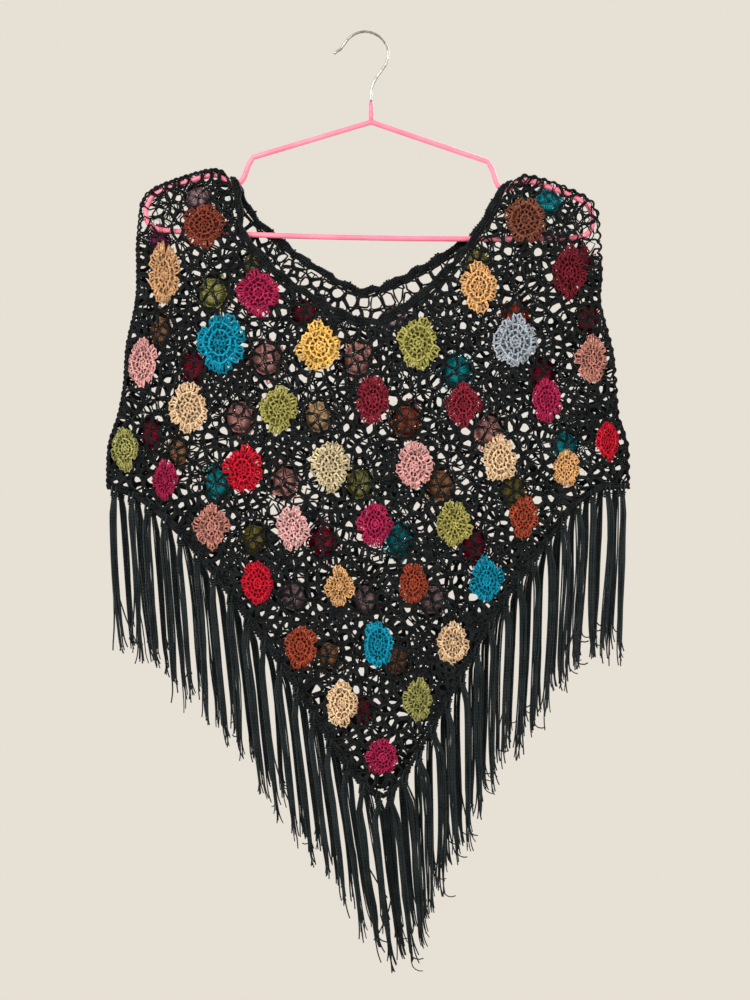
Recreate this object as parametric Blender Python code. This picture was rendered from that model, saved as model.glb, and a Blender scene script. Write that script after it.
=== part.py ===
"""Crochet poncho hanging on a coated wire hanger.

+Z is up, +X is to the right of someone who faces the front, and the front looks
towards -Y. The origin is the point inside the top of the hook's crook that rests on
a rail or a peg. Lengths are in millimetres until a mesh is made.
"""

import math

import bpy
import numpy as np
from mathutils import Vector
from mathutils.geometry import delaunay_2d_cdt

MM = 0.001

# Hanger: a frame of dipped wire and a hook of bare steel wire.
FRAME_WIRE = 4.8
HOOK_WIRE = 2.3
WIRE_SIDES = 8
CROOK_RADIUS = 20.5
CROOK_START, CROOK_END = math.radians(150.0), math.radians(-42.0)
CROOK_STEPS = 16
HOOK_TIP = ((-27.7, -18.8), (-22.4, -15.2))
HOOK_SHANK = ((9.4, -41.6), (6.0, -49.5), (5.3, -58.0), (5.4, -61.5))
NECK_TOP = -61.8
APEX = np.array([5.4, -79.7])
TILT = math.radians(1.05)
BAR_SAG = 2.7
BAR_POINTS = 7
BEND_STEP = 6.0
NECK_WIRE = 4.4
NECK_SUNK = 0.4
HALF_FRAME = (
    # out from the apex, down from the apex
    (105.0, 33.6),
    (109.2, 41.2),
    (112.8, 51.5),
    (117.0, 56.8),
    (123.5, 57.9),
    (131.6, 53.2),
    (140.5, 50.2),
    (164.7, 56.8),
    (189.7, 67.1),
    (197.8, 75.2),
    (200.0, 84.1),
    (198.2, 93.1),
    (192.4, 98.5),
    (180.0, 101.0),
)
NOTCH_OUT = 123.5
SHOULDER_OUT = 190.0

# Cloth: a crocheted net, thicker edgings, and the gaps between its pieces.
SEAM_GAP = 0.3
NET_WALL = 2.0
EDGING_WALL = 3.0
MOTIF_HEIGHT = 2.4
MOTIF_HOLLOW = 1.2
SHOULDER_COVER = 3.9
CORNER_EASE = 0.9
CORNER_CLEAR = 2.0
ROLL_POWER = 2.5
ROLL_ROWS = (0.33, 0.8)
SLOPE_STEP = 0.5
FAR_ABOVE, FAR_BELOW = (0.0, 200.0), (0.0, -1500.0)

SIDES = (
    # height, left fold, right fold
    (-190.0, -202.6, 209.4),
    (-218.0, -202.3, 210.2),
    (-242.0, -203.6, 209.0),
    (-282.0, -212.0, 219.5),
    (-313.0, -214.0, 223.2),
    (-343.0, -219.6, 225.5),
    (-366.0, -227.3, 233.2),
    (-388.0, -229.1, 234.5),
    (-408.0, -229.1, 234.5),
)
HOLLOW = (
    # height, half depth inside, width over which each side rolls round
    (-120.0, 5.0, 9.0),
    (-185.0, 6.0, 10.0),
    (-255.0, 8.0, 14.0),
    (-330.0, 10.0, 20.0),
    (-420.0, 10.0, 22.0),
    (-700.0, 7.5, 22.0),
)
FOLD_TOP, FOLD_BOTTOM = -130.0, -420.0
FOLD_GROWTH = 2.5
FOLDS = {
    # x at the shoulder, x at the hem corners, width, height
    "front": (
        (-165.0, -188.0, 26.0, -2.0),
        (-108.0, -130.0, 24.0, 2.2),
        (-30.0, -62.0, 30.0, -1.8),
        (50.0, 62.0, 30.0, 1.8),
        (112.0, 138.0, 24.0, -2.0),
        (165.0, 192.0, 24.0, 2.0),
    ),
    "back": (
        (-150.0, -172.0, 26.0, 2.0),
        (-95.0, -112.0, 26.0, -2.0),
        (-20.0, -30.0, 30.0, 1.8),
        (60.0, 84.0, 28.0, -1.8),
        (140.0, 166.0, 26.0, 2.0),
    ),
}

NECK_CENTRE = {
    "front": (
        (-115.0, -144.0),
        (-107.0, -183.0),
        (-67.0, -225.5),
        (-13.0, -255.0),
        (11.6, -258.7),
        (58.0, -230.0),
        (98.0, -185.0),
        (119.5, -146.0),
    ),
    "back": (
        (-112.0, -146.0),
        (-98.5, -166.5),
        (-56.4, -203.0),
        (-9.0, -229.5),
        (13.4, -228.5),
        (51.0, -211.0),
        (98.5, -181.0),
        (121.0, -146.0),
    ),
}
NECK_WIDTH = {"front": 7.2, "back": 5.8}
NECK_SCALLOP = {"front": 0.6, "back": 2.2}
SCALLOP_PITCH = 22.0
NECK_STEP = 4.0
NECK_STATIONS = 61

HEM_TIP_X = 17.0
HEM = {
    "left": (
        (-229.1, -408.0),
        (-197.0, -422.4),
        (-154.0, -463.6),
        (-109.2, -521.8),
        (-62.6, -588.0),
        (-20.0, -653.4),
        (3.0, -680.0),
        (17.0, -684.0),
    ),
    "right": (
        (234.5, -408.0),
        (209.4, -411.0),
        (185.3, -428.7),
        (155.0, -470.0),
        (119.0, -520.0),
        (74.3, -600.0),
        (33.1, -670.0),
        (17.0, -684.0),
    ),
}
BACK_TIP_RISE = 6.0
HEM_STEP = 2.0
HEM_ROW = 4.5
HEM_EASE = 14.0
LOCKS = 17
LOCK_ENDS = {
    # from the fold to the first lock, from the last lock to the tip
    "front": (6.0, 5.0),
    "back": (10.0, 8.0),
}
LOCK_SEED = {"front": {"left": 54, "right": 55}, "back": {"left": 44, "right": 45}}
LOCK_WIDTH, LOCK_DEPTH = 6.0, 3.2
LOCK_LENGTH, LOCK_SPREAD = 150.0, 9.0
LOCK_RINGS = (
    # share of the length, width, depth
    (0.10, 0.92, 1.0),
    (0.86, 0.90, 0.9),
    (1.00, 0.25, 0.4),
)
LEAN = (
    # x at the hem, sideways travel for each unit of length
    (-230.0, 0.06),
    (-110.0, 0.11),
    (0.0, 0.14),
    (60.0, 0.03),
    (130.0, -0.03),
    (235.0, -0.01),
)

# Motifs, charted in pixels of the photograph, and the scale that turns them to millimetres.
PIXEL = 0.895
ZERO_X, ZERO_Y = 365.0, 33.0
PETALS = 8
PETAL_DIP = 0.80
RING_SHARE = 0.62
MOTIFS = {
    # centre across, centre down, width, height
    "front": (
        (205, 226, 44, 44), (525, 221, 44, 48), (165, 275, 30, 62), (568, 274, 34, 52),
        (259, 294, 44, 46), (478, 288, 38, 48), (221, 344, 48, 60), (320, 348, 46, 50),
        (144, 364, 28, 50), (418, 344, 42, 50), (515, 343, 44, 54), (590, 361, 30, 46),
        (190, 409, 40, 48), (278, 410, 40, 46), (373, 400, 34, 48), (463, 405, 34, 42),
        (546, 400, 30, 44), (127, 449, 26, 44), (166, 480, 24, 40), (243, 470, 38, 48),
        (330, 467, 38, 50), (414, 467, 36, 48), (499, 460, 36, 46), (565, 468, 28, 38),
        (606, 442, 21, 38), (213, 526, 34, 44), (293, 528, 34, 46), (375, 524, 34, 44),
        (454, 524, 34, 46), (523, 517, 30, 42), (258, 583, 34, 46), (340, 586, 28, 40),
        (413, 583, 30, 42), (486, 580, 32, 48), (301, 646, 34, 46), (378, 644, 32, 50),
        (452, 642, 32, 44), (342, 702, 34, 46), (418, 698, 30, 44), (383, 756, 34, 36),
    ),
    "back": (
        (197, 197, 34, 30), (549, 201, 36, 32), (158, 241, 24, 38), (212, 292, 40, 44),
        (252, 263, 24, 34), (304, 312, 34, 32), (396, 318, 32, 30), (478, 263, 32, 34),
        (582, 262, 26, 46), (159, 330, 26, 46), (517, 316, 36, 42), (266, 359, 40, 46),
        (357, 359, 38, 46), (193, 367, 32, 44), (457, 371, 38, 44), (588, 319, 26, 42),
        (543, 374, 32, 44), (239, 417, 38, 46), (318, 417, 36, 44), (406, 421, 38, 46),
        (150, 434, 26, 44), (177, 452, 24, 40), (489, 430, 36, 44), (566, 446, 32, 42),
        (216, 484, 34, 44), (284, 482, 34, 42), (359, 484, 36, 44), (440, 485, 36, 44),
        (514, 491, 34, 42), (254, 539, 34, 42), (323, 542, 34, 44), (399, 541, 34, 44),
        (474, 546, 34, 44), (293, 597, 34, 42), (365, 600, 32, 42), (432, 600, 32, 42),
        (328, 656, 30, 40), (397, 661, 32, 42), (361, 712, 30, 38),
    ),
}

# Gaps of the net, the largest of them, cut right through.
GAPS = 86
GAP_PITCH = 26.5
GAP_JITTER = 4.0
GAP_HALF_WIDTH = (4.0, 6.0)
GAP_TALLNESS = 1.15
GAP_CORNERS = 5
GAP_TURN_JITTER = 0.22
GAP_EDGE_MARGIN = 10.0
GAP_MOTIF_MARGIN = 8.0
GAP_SEED = {"front": 11, "back": 23}
FORM_PITCH = 28.0
FORM_CLEAR = 10.0
FORM_FROM_FOLD = 18.0
CLOSE_CLEAR = 1.5
EDGE_STEP = 13.0
SHOULDER_STEP = 6.5

COLOURS = {
    # red, green, blue, roughness, metallic
    "black_yarn": (0.012, 0.012, 0.014, 0.6, 0.0),
    "pink_coating": (0.87, 0.19, 0.29, 0.4, 0.0),
    "steel_wire": (0.60, 0.58, 0.55, 0.3, 1.0),
}


def curve_through(points, step):
    """A smooth line through the points, cut into pieces about one step long."""
    rows = np.array(points, float)
    ends = np.vstack([2 * rows[0] - rows[1], rows, 2 * rows[-1] - rows[-2]])
    line = []
    for before, start, stop, after in zip(ends, ends[1:], ends[2:], ends[3:]):
        count = max(1, round(np.linalg.norm(stop - start) / step))
        t = np.arange(count)[:, None] / count
        line.append(
            0.5 * (2 * start + (stop - before) * t
                   + (2 * before - 5 * start + 4 * stop - after) * t**2
                   + (3 * start - before - 3 * stop + after) * t**3)
        )
    return np.vstack(line + [rows[-1:]])


def travel(line):
    """How far along the line each of its points is."""
    steps = np.linalg.norm(np.diff(line, axis=0), axis=1)
    return np.concatenate([[0.0], np.cumsum(steps)])


def even_points(line, count):
    """The line cut again at evenly spaced points."""
    along = travel(line)
    places = np.linspace(0.0, along[-1], count)
    return np.column_stack([np.interp(places, along, line[:, axis]) for axis in (0, 1)])


def left_of(line):
    """The unit vector to the left of the line's direction at each point."""
    ahead = np.gradient(line, axis=0)
    ahead /= np.linalg.norm(ahead, axis=1)[:, None]
    return np.column_stack([-ahead[:, 1], ahead[:, 0]])


def inside(points, loop):
    """Which points lie in the closed loop, by counting the sides to their right."""
    x, z = points[:, 0][:, None], points[:, 1][:, None]
    start, stop = loop, np.roll(loop, -1, axis=0)
    spans = (start[:, 1] > z) != (stop[:, 1] > z)
    rise = np.where(stop[:, 1] == start[:, 1], 1.0, stop[:, 1] - start[:, 1])
    crossing = start[:, 0] + (z - start[:, 1]) * (stop[:, 0] - start[:, 0]) / rise
    return (spans & (x < crossing)).sum(axis=1) % 2 == 1


def distance(points, line):
    """The distance from each point to the line."""
    start, run = line[:-1], np.diff(line, axis=0)
    away = points[:, None] - start
    share = (away * run).sum(2) / (run**2).sum(1)
    nearest = away - np.clip(share, 0, 1)[..., None] * run
    return np.linalg.norm(nearest, axis=2).min(axis=1)


def on_hanger(points):
    """Points measured out and down from the apex of a level hanger, tilted and set in place."""
    turn = np.array([[math.cos(TILT), -math.sin(TILT)], [math.sin(TILT), math.cos(TILT)]])
    return np.asarray(points) @ turn + APEX


def half_frame(hand):
    """The frame's wire from the apex to the bar, on the left (-1) or the right (+1)."""
    bends = curve_through([(hand * out, -down) for out, down in HALF_FRAME], BEND_STEP)
    return np.vstack([[(0.0, 0.0)], bends])


def shoulder_fold(hand):
    """The line where the cloth folds over the frame, from the neck to the hanger's end."""
    wire = half_frame(hand)
    lifted = wire + SHOULDER_COVER * left_of(wire) * (1 if hand > 0 else -1)
    out = hand * wire[:, 0]
    last = int(np.argmax(out))
    first = np.searchsorted(out[:last], NOTCH_OUT - NECK_WIDTH["front"])
    return on_hanger(lifted[first : last + 1])


def side_fold(hand):
    """The whole fold on one side, from the neck over the shoulder and down to the hem."""
    column = 1 if hand < 0 else 2
    down = [(row[column], row[0]) for row in SIDES]
    return np.vstack([shoulder_fold(hand), curve_through(down, EDGE_STEP)])


FOLD_LINES = {"left": side_fold(-1), "right": side_fold(1)}
FOLD_LOOP = np.vstack([FAR_ABOVE, FOLD_LINES["left"], FAR_BELOW, FOLD_LINES["right"][::-1]])


def fold_point(side, out):
    """The point of a side's fold that lies a given way out from the apex, on the shoulder."""
    fold = FOLD_LINES[side]
    outs = np.abs(fold[:, 0] - APEX[0])
    last = int(np.argmax(outs > SHOULDER_OUT))
    return np.array([np.interp(out, outs[:last], fold[:last, axis]) for axis in (0, 1)])


def from_fold(points):
    """The distance in from the nearer side fold, negative outside it."""
    gap = np.minimum(
        distance(points, FOLD_LINES["left"]), distance(points, FOLD_LINES["right"])
    )
    return np.where(inside(points, FOLD_LOOP), gap, -gap)


def fold_height(points, layer):
    """How far the soft vertical folds stand out at each point."""
    fall = (points[:, 1] - FOLD_TOP) / (FOLD_BOTTOM - FOLD_TOP)
    total = np.zeros(len(points))
    for top, bottom, width, height in FOLDS[layer]:
        middle = top + (bottom - top) * fall
        total += height * np.exp(-(((points[:, 0] - middle) / width) ** 2))
    return total * np.clip(fall * FOLD_GROWTH, 0, 1)


def depth_at(points, layer, lowest=None):
    """The distance of the cloth's inner face from the plane of the hanger."""
    table = np.array(HOLLOW)[::-1]
    half, roll = (np.interp(points[:, 1], table[:, 0], table[:, i]) for i in (1, 2))
    share = np.clip(from_fold(points) / roll, lowest, 1.0)
    rounded = 1 - (1 - share) ** ROLL_POWER
    return SEAM_GAP / 2 + rounded * (half + fold_height(points, layer))


def hang(points, layer, proud=0.0):
    """Points of the flat chart as they hang, moved out from the inner face by proud."""
    slopes = []
    for step in ((SLOPE_STEP, 0.0), (0.0, SLOPE_STEP)):
        rise = depth_at(points + step, layer) - depth_at(points - step, layer)
        slopes.append(rise / (2 * SLOPE_STEP))
    towards = -1.0 if layer == "front" else 1.0
    out = np.column_stack([-slopes[0], np.full(len(points), towards), -slopes[1]])
    out /= np.linalg.norm(out, axis=1)[:, None]
    face = np.column_stack(
        [points[:, 0], towards * depth_at(points, layer, lowest=0.0), points[:, 1]]
    )
    return face + out * np.broadcast_to(proud, len(points))[:, None]


def material(name):
    """A plain surface in one of the part's colours."""
    red, green, blue, roughness, metallic = COLOURS[name]
    made = bpy.data.materials.get(name) or bpy.data.materials.new(name)
    made.use_nodes = True
    shader = made.node_tree.nodes["Principled BSDF"]
    shader.inputs["Base Color"].default_value = (red, green, blue, 1.0)
    shader.inputs["Roughness"].default_value = roughness
    shader.inputs["Metallic"].default_value = metallic
    return made


def add_object(name, points, faces, colour, smooth=False):
    """One named object from points in millimetres."""
    mesh = bpy.data.meshes.new(name)
    mesh.from_pydata((np.asarray(points) * MM).tolist(), [], faces)
    mesh.materials.append(material(colour))
    if smooth:
        mesh.shade_smooth()
    made = bpy.data.objects.new(name, mesh)
    bpy.context.collection.objects.link(made)
    return made


def triangles(points, loops, outline):
    """Triangles over the points inside the outline, with every loop's sides kept."""
    sides = [pair for loop in loops for pair in zip(loop, loop[1:] + loop[:1])]
    _, _, faces, origin, _, _ = delaunay_2d_cdt(
        [Vector(point) for point in points], sides, [], 0, 1e-5
    )
    faces = np.array([[origin[corner][0] for corner in face] for face in faces])
    return faces[inside(points[faces].mean(axis=1), outline)]


def rim_of(faces):
    """The directed edges that only one face has."""
    edges = {(a, b) for face in faces.tolist() for a, b in zip(face, face[1:] + face[:1])}
    return sorted((a, b) for a, b in edges if (b, a) not in edges)


def wall(name, layer, points, outer, inner, proud):
    """A closed wall from a flat chart: an outer face, an inner face and the rim between."""
    skins = np.vstack([hang(points, layer, proud), hang(points, layer)])
    count = len(points)
    faces = outer.tolist() + (inner[:, ::-1] + count).tolist()
    for a, b in rim_of(outer):
        faces.append([b, a, a + count, b + count])
    if layer == "back":
        faces = [face[::-1] for face in faces]
    used = sorted({corner for face in faces for corner in face})
    place = {corner: index for index, corner in enumerate(used)}
    faces = [[place[corner] for corner in face] for face in faces]
    return add_object(name, skins[used], faces, "black_yarn")


def neck_line(layer):
    """The neck edging's centre, from the left fold to the right fold."""
    rows = [fold_point("left", NOTCH_OUT), *NECK_CENTRE[layer], fold_point("right", NOTCH_OUT)]
    return even_points(curve_through(rows, NECK_STEP), NECK_STATIONS)


def neck_side(layer, up):
    """A line beside the neck edging's centre, its two ends on the shoulder folds."""
    line = neck_line(layer)
    beside = line + np.broadcast_to(up, len(line))[:, None] * left_of(line)
    beside[0] = fold_point("left", NOTCH_OUT - np.ravel(up)[0])
    beside[-1] = fold_point("right", NOTCH_OUT - np.ravel(up)[-1])
    return beside


def neck_edge(layer):
    """The crocheted neck edging, plain where it joins the net and scalloped at the opening."""
    along = travel(neck_line(layer))
    swell = NECK_SCALLOP[layer] * np.abs(np.sin(math.pi * along / SCALLOP_PITCH))
    half = NECK_WIDTH[layer] / 2
    outline = np.vstack([neck_side(layer, -half), neck_side(layer, half + swell)[::-1]])
    loop = list(range(len(outline)))
    faces = triangles(outline, [loop], outline)
    wall(f"{layer}_neck_edge", layer, outline, faces, faces, EDGING_WALL)


def hem_line(layer, side):
    """The hem from the side fold to the tip, finely cut."""
    rows = np.array(HEM[side])
    if layer == "back":
        to_tip = (rows[:, 0] - rows[0, 0]) / (rows[-1, 0] - rows[0, 0])
        rows[:, 1] += BACK_TIP_RISE * to_tip
    return curve_through(rows, HEM_STEP)


def hem_at(layer, side, x, up):
    """The hem's points at the given x, raised square to the hem by up."""
    line = hem_line(layer, side)
    order = np.argsort(line[:, 0])
    line = line[order]
    normal = left_of(line)
    raised = [np.interp(x, line[:, 0], column) for column in (line[:, 1], *normal.T)]
    from_ends = np.minimum(np.abs(x - x[0]), np.abs(x - x[-1]))
    sideways = raised[1] * np.clip(from_ends / HEM_EASE, 0.0, 1.0)
    upwards = np.sqrt(1 - sideways**2)
    return np.column_stack([x + up * sideways, raised[0] + up * upwards])


def lock_places(layer, side):
    """The x of each lock's root, and of both ends of the hem row, from the fold to the tip."""
    fold_x = HEM[side][0][0]
    hand = 1 if fold_x < HEM_TIP_X else -1
    tip_x = HEM_TIP_X - hand * SEAM_GAP / 2
    from_fold_end, from_tip = LOCK_ENDS[layer]
    middles = np.linspace(fold_x + hand * from_fold_end, tip_x - hand * from_tip, LOCKS)
    roots = np.column_stack([middles - hand * LOCK_WIDTH / 2, middles + hand * LOCK_WIDTH / 2])
    return middles, np.concatenate([[fold_x], roots.ravel(), [tip_x]])


def fringe(layer, side):
    """A narrow hem row and the locks of cut yarn that hang from it, one closed body."""
    middles, stations = lock_places(layer, side)
    rng = np.random.default_rng(LOCK_SEED[layer][side])
    low = hem_at(layer, side, stations, 0.0)
    high = hem_at(layer, side, stations, HEM_ROW)
    rings = np.stack(
        [hang(high, layer, EDGING_WALL), hang(high, layer),
         hang(low, layer), hang(low, layer, EDGING_WALL)], axis=1
    )
    points = rings.reshape(-1, 3).tolist()
    faces = [[0, 1, 2, 3], [len(points) - 4 + corner for corner in (3, 2, 1, 0)]]
    for station in range(len(stations) - 1):
        here, there = 4 * station, 4 * station + 4
        root = station % 2 == 1
        for corner in (0, 1, 2, 3):
            following = (corner + 1) % 4
            if root and corner == 2:
                continue
            faces.append([here + following, here + corner, there + corner, there + following])
        if root:
            lock = (station - 1) // 2
            length = LOCK_LENGTH + rng.uniform(-LOCK_SPREAD, LOCK_SPREAD)
            add_lock(points, faces, here, there, middles[lock], length)
    forwards = (layer == "front") == (side == "left")
    if not forwards:
        faces = [face[::-1] for face in faces]
    add_object(f"{layer}_fringe_{side}", points, faces, "black_yarn")


def add_lock(points, faces, here, there, x, length):
    """A four-sided lock that grows out of the hem row's underside between two stations."""
    above = [here + 2, here + 3, there + 3, there + 2]
    corners = np.array([points[index] for index in above])
    middle_y = corners[:, 1].mean()
    deep = np.sign(corners[1, 1] - corners[0, 1]) * LOCK_DEPTH / 2
    wide = np.sign(corners[2, 0] - corners[0, 0]) * LOCK_WIDTH / 2
    top = corners[:, 2].min()
    lean = np.interp(x, *np.array(LEAN).T)
    for share, width, depth in LOCK_RINGS:
        shift = x + lean * length * share
        ring = [
            (shift + across * wide * width, middle_y + through * deep * depth, top - length * share)
            for across, through in ((-1, -1), (-1, 1), (1, 1), (1, -1))
        ]
        below = list(range(len(points), len(points) + 4))
        points.extend(ring)
        for corner in range(4):
            following = (corner + 1) % 4
            faces.append([above[following], above[corner], below[corner], below[following]])
        above = below
    faces.append(above[::-1])


def motif_points(row):
    """A motif's petal outline, its raised ring and its middle, on the chart."""
    across, down, width, height = row
    centre = np.array([(across - ZERO_X) * PIXEL, (ZERO_Y - down) * PIXEL])
    half = np.array([width, height]) * PIXEL / 2
    turn = math.pi * np.arange(2 * PETALS) / PETALS
    reach = np.where(np.arange(2 * PETALS) % 2 == 0, 1.0, PETAL_DIP)
    petals = np.column_stack([np.cos(turn), np.sin(turn)]) * reach[:, None]
    ring = petals[::2] * RING_SHARE
    return centre, half, [centre + part * half for part in (petals, ring, np.zeros((1, 2)))]


def staggered(outline, pitch):
    """Places on a staggered grid over the outline."""
    low, high = outline.min(axis=0), outline.max(axis=0)
    across = np.arange(low[0], high[0], pitch)
    down = np.arange(low[1], high[1], pitch * math.sqrt(0.75))
    shift = (np.arange(len(down)) % 2)[:, None] * pitch / 2
    x = across[None, :] + shift
    return np.column_stack([x.ravel(), np.repeat(down, len(across))])


def clear_of_motifs(places, layer, margin):
    """Which places lie outside every motif by the margin."""
    clear = np.ones(len(places), bool)
    for row in MOTIFS[layer]:
        centre, half, _ = motif_points(row)
        clear &= (((places - centre) / (half + margin)) ** 2).sum(axis=1) > 1
    return clear


def net_gaps(layer, outline):
    """The largest gaps of the net as five-sided loops, clear of motifs and edges."""
    rng = np.random.default_rng(GAP_SEED[layer])
    places = staggered(outline, GAP_PITCH)
    places = places + rng.uniform(-GAP_JITTER, GAP_JITTER, places.shape)
    half = rng.uniform(*GAP_HALF_WIDTH, len(places))
    turn = 2 * math.pi * np.arange(GAP_CORNERS) / GAP_CORNERS
    turns = turn + rng.uniform(0, 2 * math.pi, len(places))[:, None]
    turns += rng.uniform(-GAP_TURN_JITTER, GAP_TURN_JITTER, turns.shape)
    closed = np.vstack([outline, outline[:1]])
    good = inside(places, outline) & (distance(places, closed) > GAP_EDGE_MARGIN)
    good &= clear_of_motifs(places, layer, GAP_MOTIF_MARGIN)
    largest = np.flatnonzero(good)[np.argsort(-half[good])[:GAPS]]
    reach = np.stack([np.cos(turns), GAP_TALLNESS * np.sin(turns)], axis=2)
    return (places[:, None] + half[:, None, None] * reach)[largest]


def panel_outline(layer):
    """The net's outline on the chart, anticlockwise from the neck's left end."""
    below_band = NECK_WIDTH[layer] / 2 + SEAM_GAP
    neck = neck_side(layer, -below_band)
    neck[0] = fold_point("left", NOTCH_OUT + below_band + CORNER_EASE)
    neck[-1] = fold_point("right", NOTCH_OUT + below_band + CORNER_EASE)
    folds, hems = [], []
    for side in ("left", "right"):
        _, stations = lock_places(layer, side)
        hems.append(hem_at(layer, side, stations, HEM_ROW + SEAM_GAP))
        fold = fold_stations(side)
        outside = np.abs(fold[:, 0] - APEX[0]) > NOTCH_OUT + below_band + CORNER_CLEAR
        folds.append(fold[outside & (fold[:, 1] > hems[-1][0, 1] + 2 * CORNER_CLEAR)])
    return np.vstack([folds[0], hems[0], hems[1][::-1], folds[1][::-1], neck[::-1]])


def panel(layer):
    """One half of the net: a wall with its largest gaps cut through and its motifs raised."""
    outline = panel_outline(layer)
    gaps = net_gaps(layer, outline)
    parts = [outline, gaps.reshape(-1, 2)]
    kinds = [np.zeros(len(outline), int), np.repeat(np.arange(len(gaps)), GAP_CORNERS) + 1]
    loops = [list(range(len(outline)))]
    for index in range(len(gaps)):
        start = len(outline) + index * GAP_CORNERS
        loops.append(list(range(start, start + GAP_CORNERS)))
    edges = np.vstack(parts)
    rolls = np.vstack([roll_rows(side) for side in ("left", "right")])
    form = staggered(outline, FORM_PITCH)
    form = form[inside(form, outline) & (from_fold(form) > FORM_FROM_FOLD)]
    form = np.vstack([form, rolls[inside(rolls, outline)]])
    apart = np.linalg.norm(form[:, None] - edges, axis=2).min(axis=1)
    form = form[apart > np.where(from_fold(form) > FORM_FROM_FOLD, FORM_CLEAR, CLOSE_CLEAR)]

    shared = np.vstack([edges, form])
    kind = np.concatenate([*kinds, np.zeros(len(form), int)])
    inner = triangles(shared, loops, outline)
    inner = inner[~in_gap(inner, kind)]

    bare = form[clear_of_motifs(form, layer, CLOSE_CLEAR)]
    raised = [np.vstack([edges, bare])]
    proud = [np.full(len(raised[0]), NET_WALL)]
    outer_loops = list(loops)
    for row in MOTIFS[layer]:
        _, _, (petals, ring, middle) = motif_points(row)
        start = sum(len(part) for part in raised)
        outer_loops.append(list(range(start, start + len(petals))))
        outer_loops.append(list(range(start + len(petals), start + len(petals) + len(ring))))
        raised.append(np.vstack([petals, ring, middle]))
        proud.append(np.full(len(petals), NET_WALL))
        proud.append(np.full(len(ring), NET_WALL + MOTIF_HEIGHT))
        proud.append([NET_WALL + MOTIF_HOLLOW])
    outer_points = np.vstack(raised)
    kind = np.zeros(len(outer_points), int)
    kind[: len(edges)] = np.concatenate(kinds)
    outer = triangles(outer_points, outer_loops, outline)
    outer = outer[~in_gap(outer, kind)]

    both, count = np.vstack([outer_points, form]), len(outer_points)
    renumber = np.concatenate([np.arange(len(edges)), count + np.arange(len(form))])
    proud = np.concatenate([*proud, np.full(len(form), NET_WALL)])
    wall(f"{layer}_panel", layer, both, outer, renumber[inner], proud)


def in_gap(faces, kind):
    """Which triangles fill a gap, having all three corners on the same gap's loop."""
    corner = kind[faces]
    return (corner[:, 0] > 0) & (corner[:, 0] == corner[:, 1]) & (corner[:, 1] == corner[:, 2])


def fold_stations(side):
    """The side fold cut into short steps over the shoulder and longer ones down the side."""
    fold = FOLD_LINES[side]
    last = int(np.argmin(np.abs(fold[:, 1] - SIDES[0][0])))
    over, down = fold[: last + 1], fold[last:]
    steps = [round(travel(over)[-1] / SHOULDER_STEP), round(travel(down)[-1] / EDGE_STEP)]
    return np.vstack([even_points(over, steps[0])[:-1], even_points(down, steps[1])])


def roll_rows(side):
    """Two rows of points beside a side fold, where the cloth rolls round most."""
    fold = fold_stations(side)
    inwards = left_of(fold) * (1 if side == "left" else -1)
    table = np.array(HOLLOW)[::-1]
    roll = np.interp(fold[:, 1], table[:, 0], table[:, 2])[:, None]
    near, far = (fold + share * roll * inwards for share in ROLL_ROWS)
    return np.vstack([near, far[::2]])


def wire(name, line, thickness, colour, closed):
    """A round wire along a line in the hanger's plane."""
    following = np.roll(line, -1, axis=0) - np.roll(line, 1, axis=0)
    if not closed:
        following = np.gradient(line, axis=0)
    following = following / np.linalg.norm(following, axis=1)[:, None]
    turn = 2 * math.pi * np.arange(WIRE_SIDES) / WIRE_SIDES
    sideways, out = np.cos(turn) * thickness / 2, -np.sin(turn) * thickness / 2
    x = line[:, 0][:, None] - sideways * following[:, 1][:, None]
    z = line[:, 1][:, None] + sideways * following[:, 0][:, None]
    points = np.stack([x, np.broadcast_to(out, x.shape), z], axis=2).reshape(-1, 3)
    count = len(line)
    faces = []
    for ring in range(count if closed else count - 1):
        here, there = ring * WIRE_SIDES, (ring + 1) % count * WIRE_SIDES
        for side in range(WIRE_SIDES):
            following_side = (side + 1) % WIRE_SIDES
            faces.append(
                [here + side, here + following_side, there + following_side, there + side]
            )
    if not closed:
        faces.append(list(range(WIRE_SIDES))[::-1])
        last = (count - 1) * WIRE_SIDES
        faces.append(list(range(last, last + WIRE_SIDES)))
    return add_object(name, points, faces, colour, smooth=True)


def hanger_frame():
    """The frame's closed wire with the short dipped neck joined to its apex."""
    left, right = half_frame(-1), half_frame(1)
    bar_end = left[-1]
    share = np.linspace(-1, 1, BAR_POINTS)[1:-1]
    bar = np.column_stack([share * abs(bar_end[0]), bar_end[1] - BAR_SAG * (1 - share**2)])
    loop = on_hanger(np.vstack([right, bar[::-1], left[:0:-1]]))
    frame = wire("hanger_frame", loop, FRAME_WIRE, "pink_coating", closed=True)
    up = np.array([(APEX[0], APEX[1] - NECK_SUNK), (APEX[0], NECK_TOP)])
    neck = wire("hanger_neck", up, NECK_WIRE, "pink_coating", closed=False)
    neck.hide_render = True
    neck.display_type = "WIRE"
    join = frame.modifiers.new("neck", "BOOLEAN")
    join.operation = "UNION"
    join.solver = "EXACT"
    join.object = neck


def hanger_hook():
    """The bare hook: a flared tip, a round crook and a shank that curves back to the middle."""
    turn = np.linspace(CROOK_START, CROOK_END, CROOK_STEPS)
    centre_z = HOOK_WIRE / 2 - CROOK_RADIUS
    crook = np.column_stack(
        [CROOK_RADIUS * np.cos(turn), centre_z + CROOK_RADIUS * np.sin(turn)]
    )
    line = np.vstack([HOOK_TIP, crook, HOOK_SHANK])
    wire("hanger_hook", line, HOOK_WIRE, "steel_wire", closed=False)


for old in list(bpy.data.objects):
    bpy.data.objects.remove(old)
hanger_frame()
hanger_hook()
for each_layer in ("front", "back"):
    panel(each_layer)
    neck_edge(each_layer)
    for each_side in ("left", "right"):
        fringe(each_layer, each_side)
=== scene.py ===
import math

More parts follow.
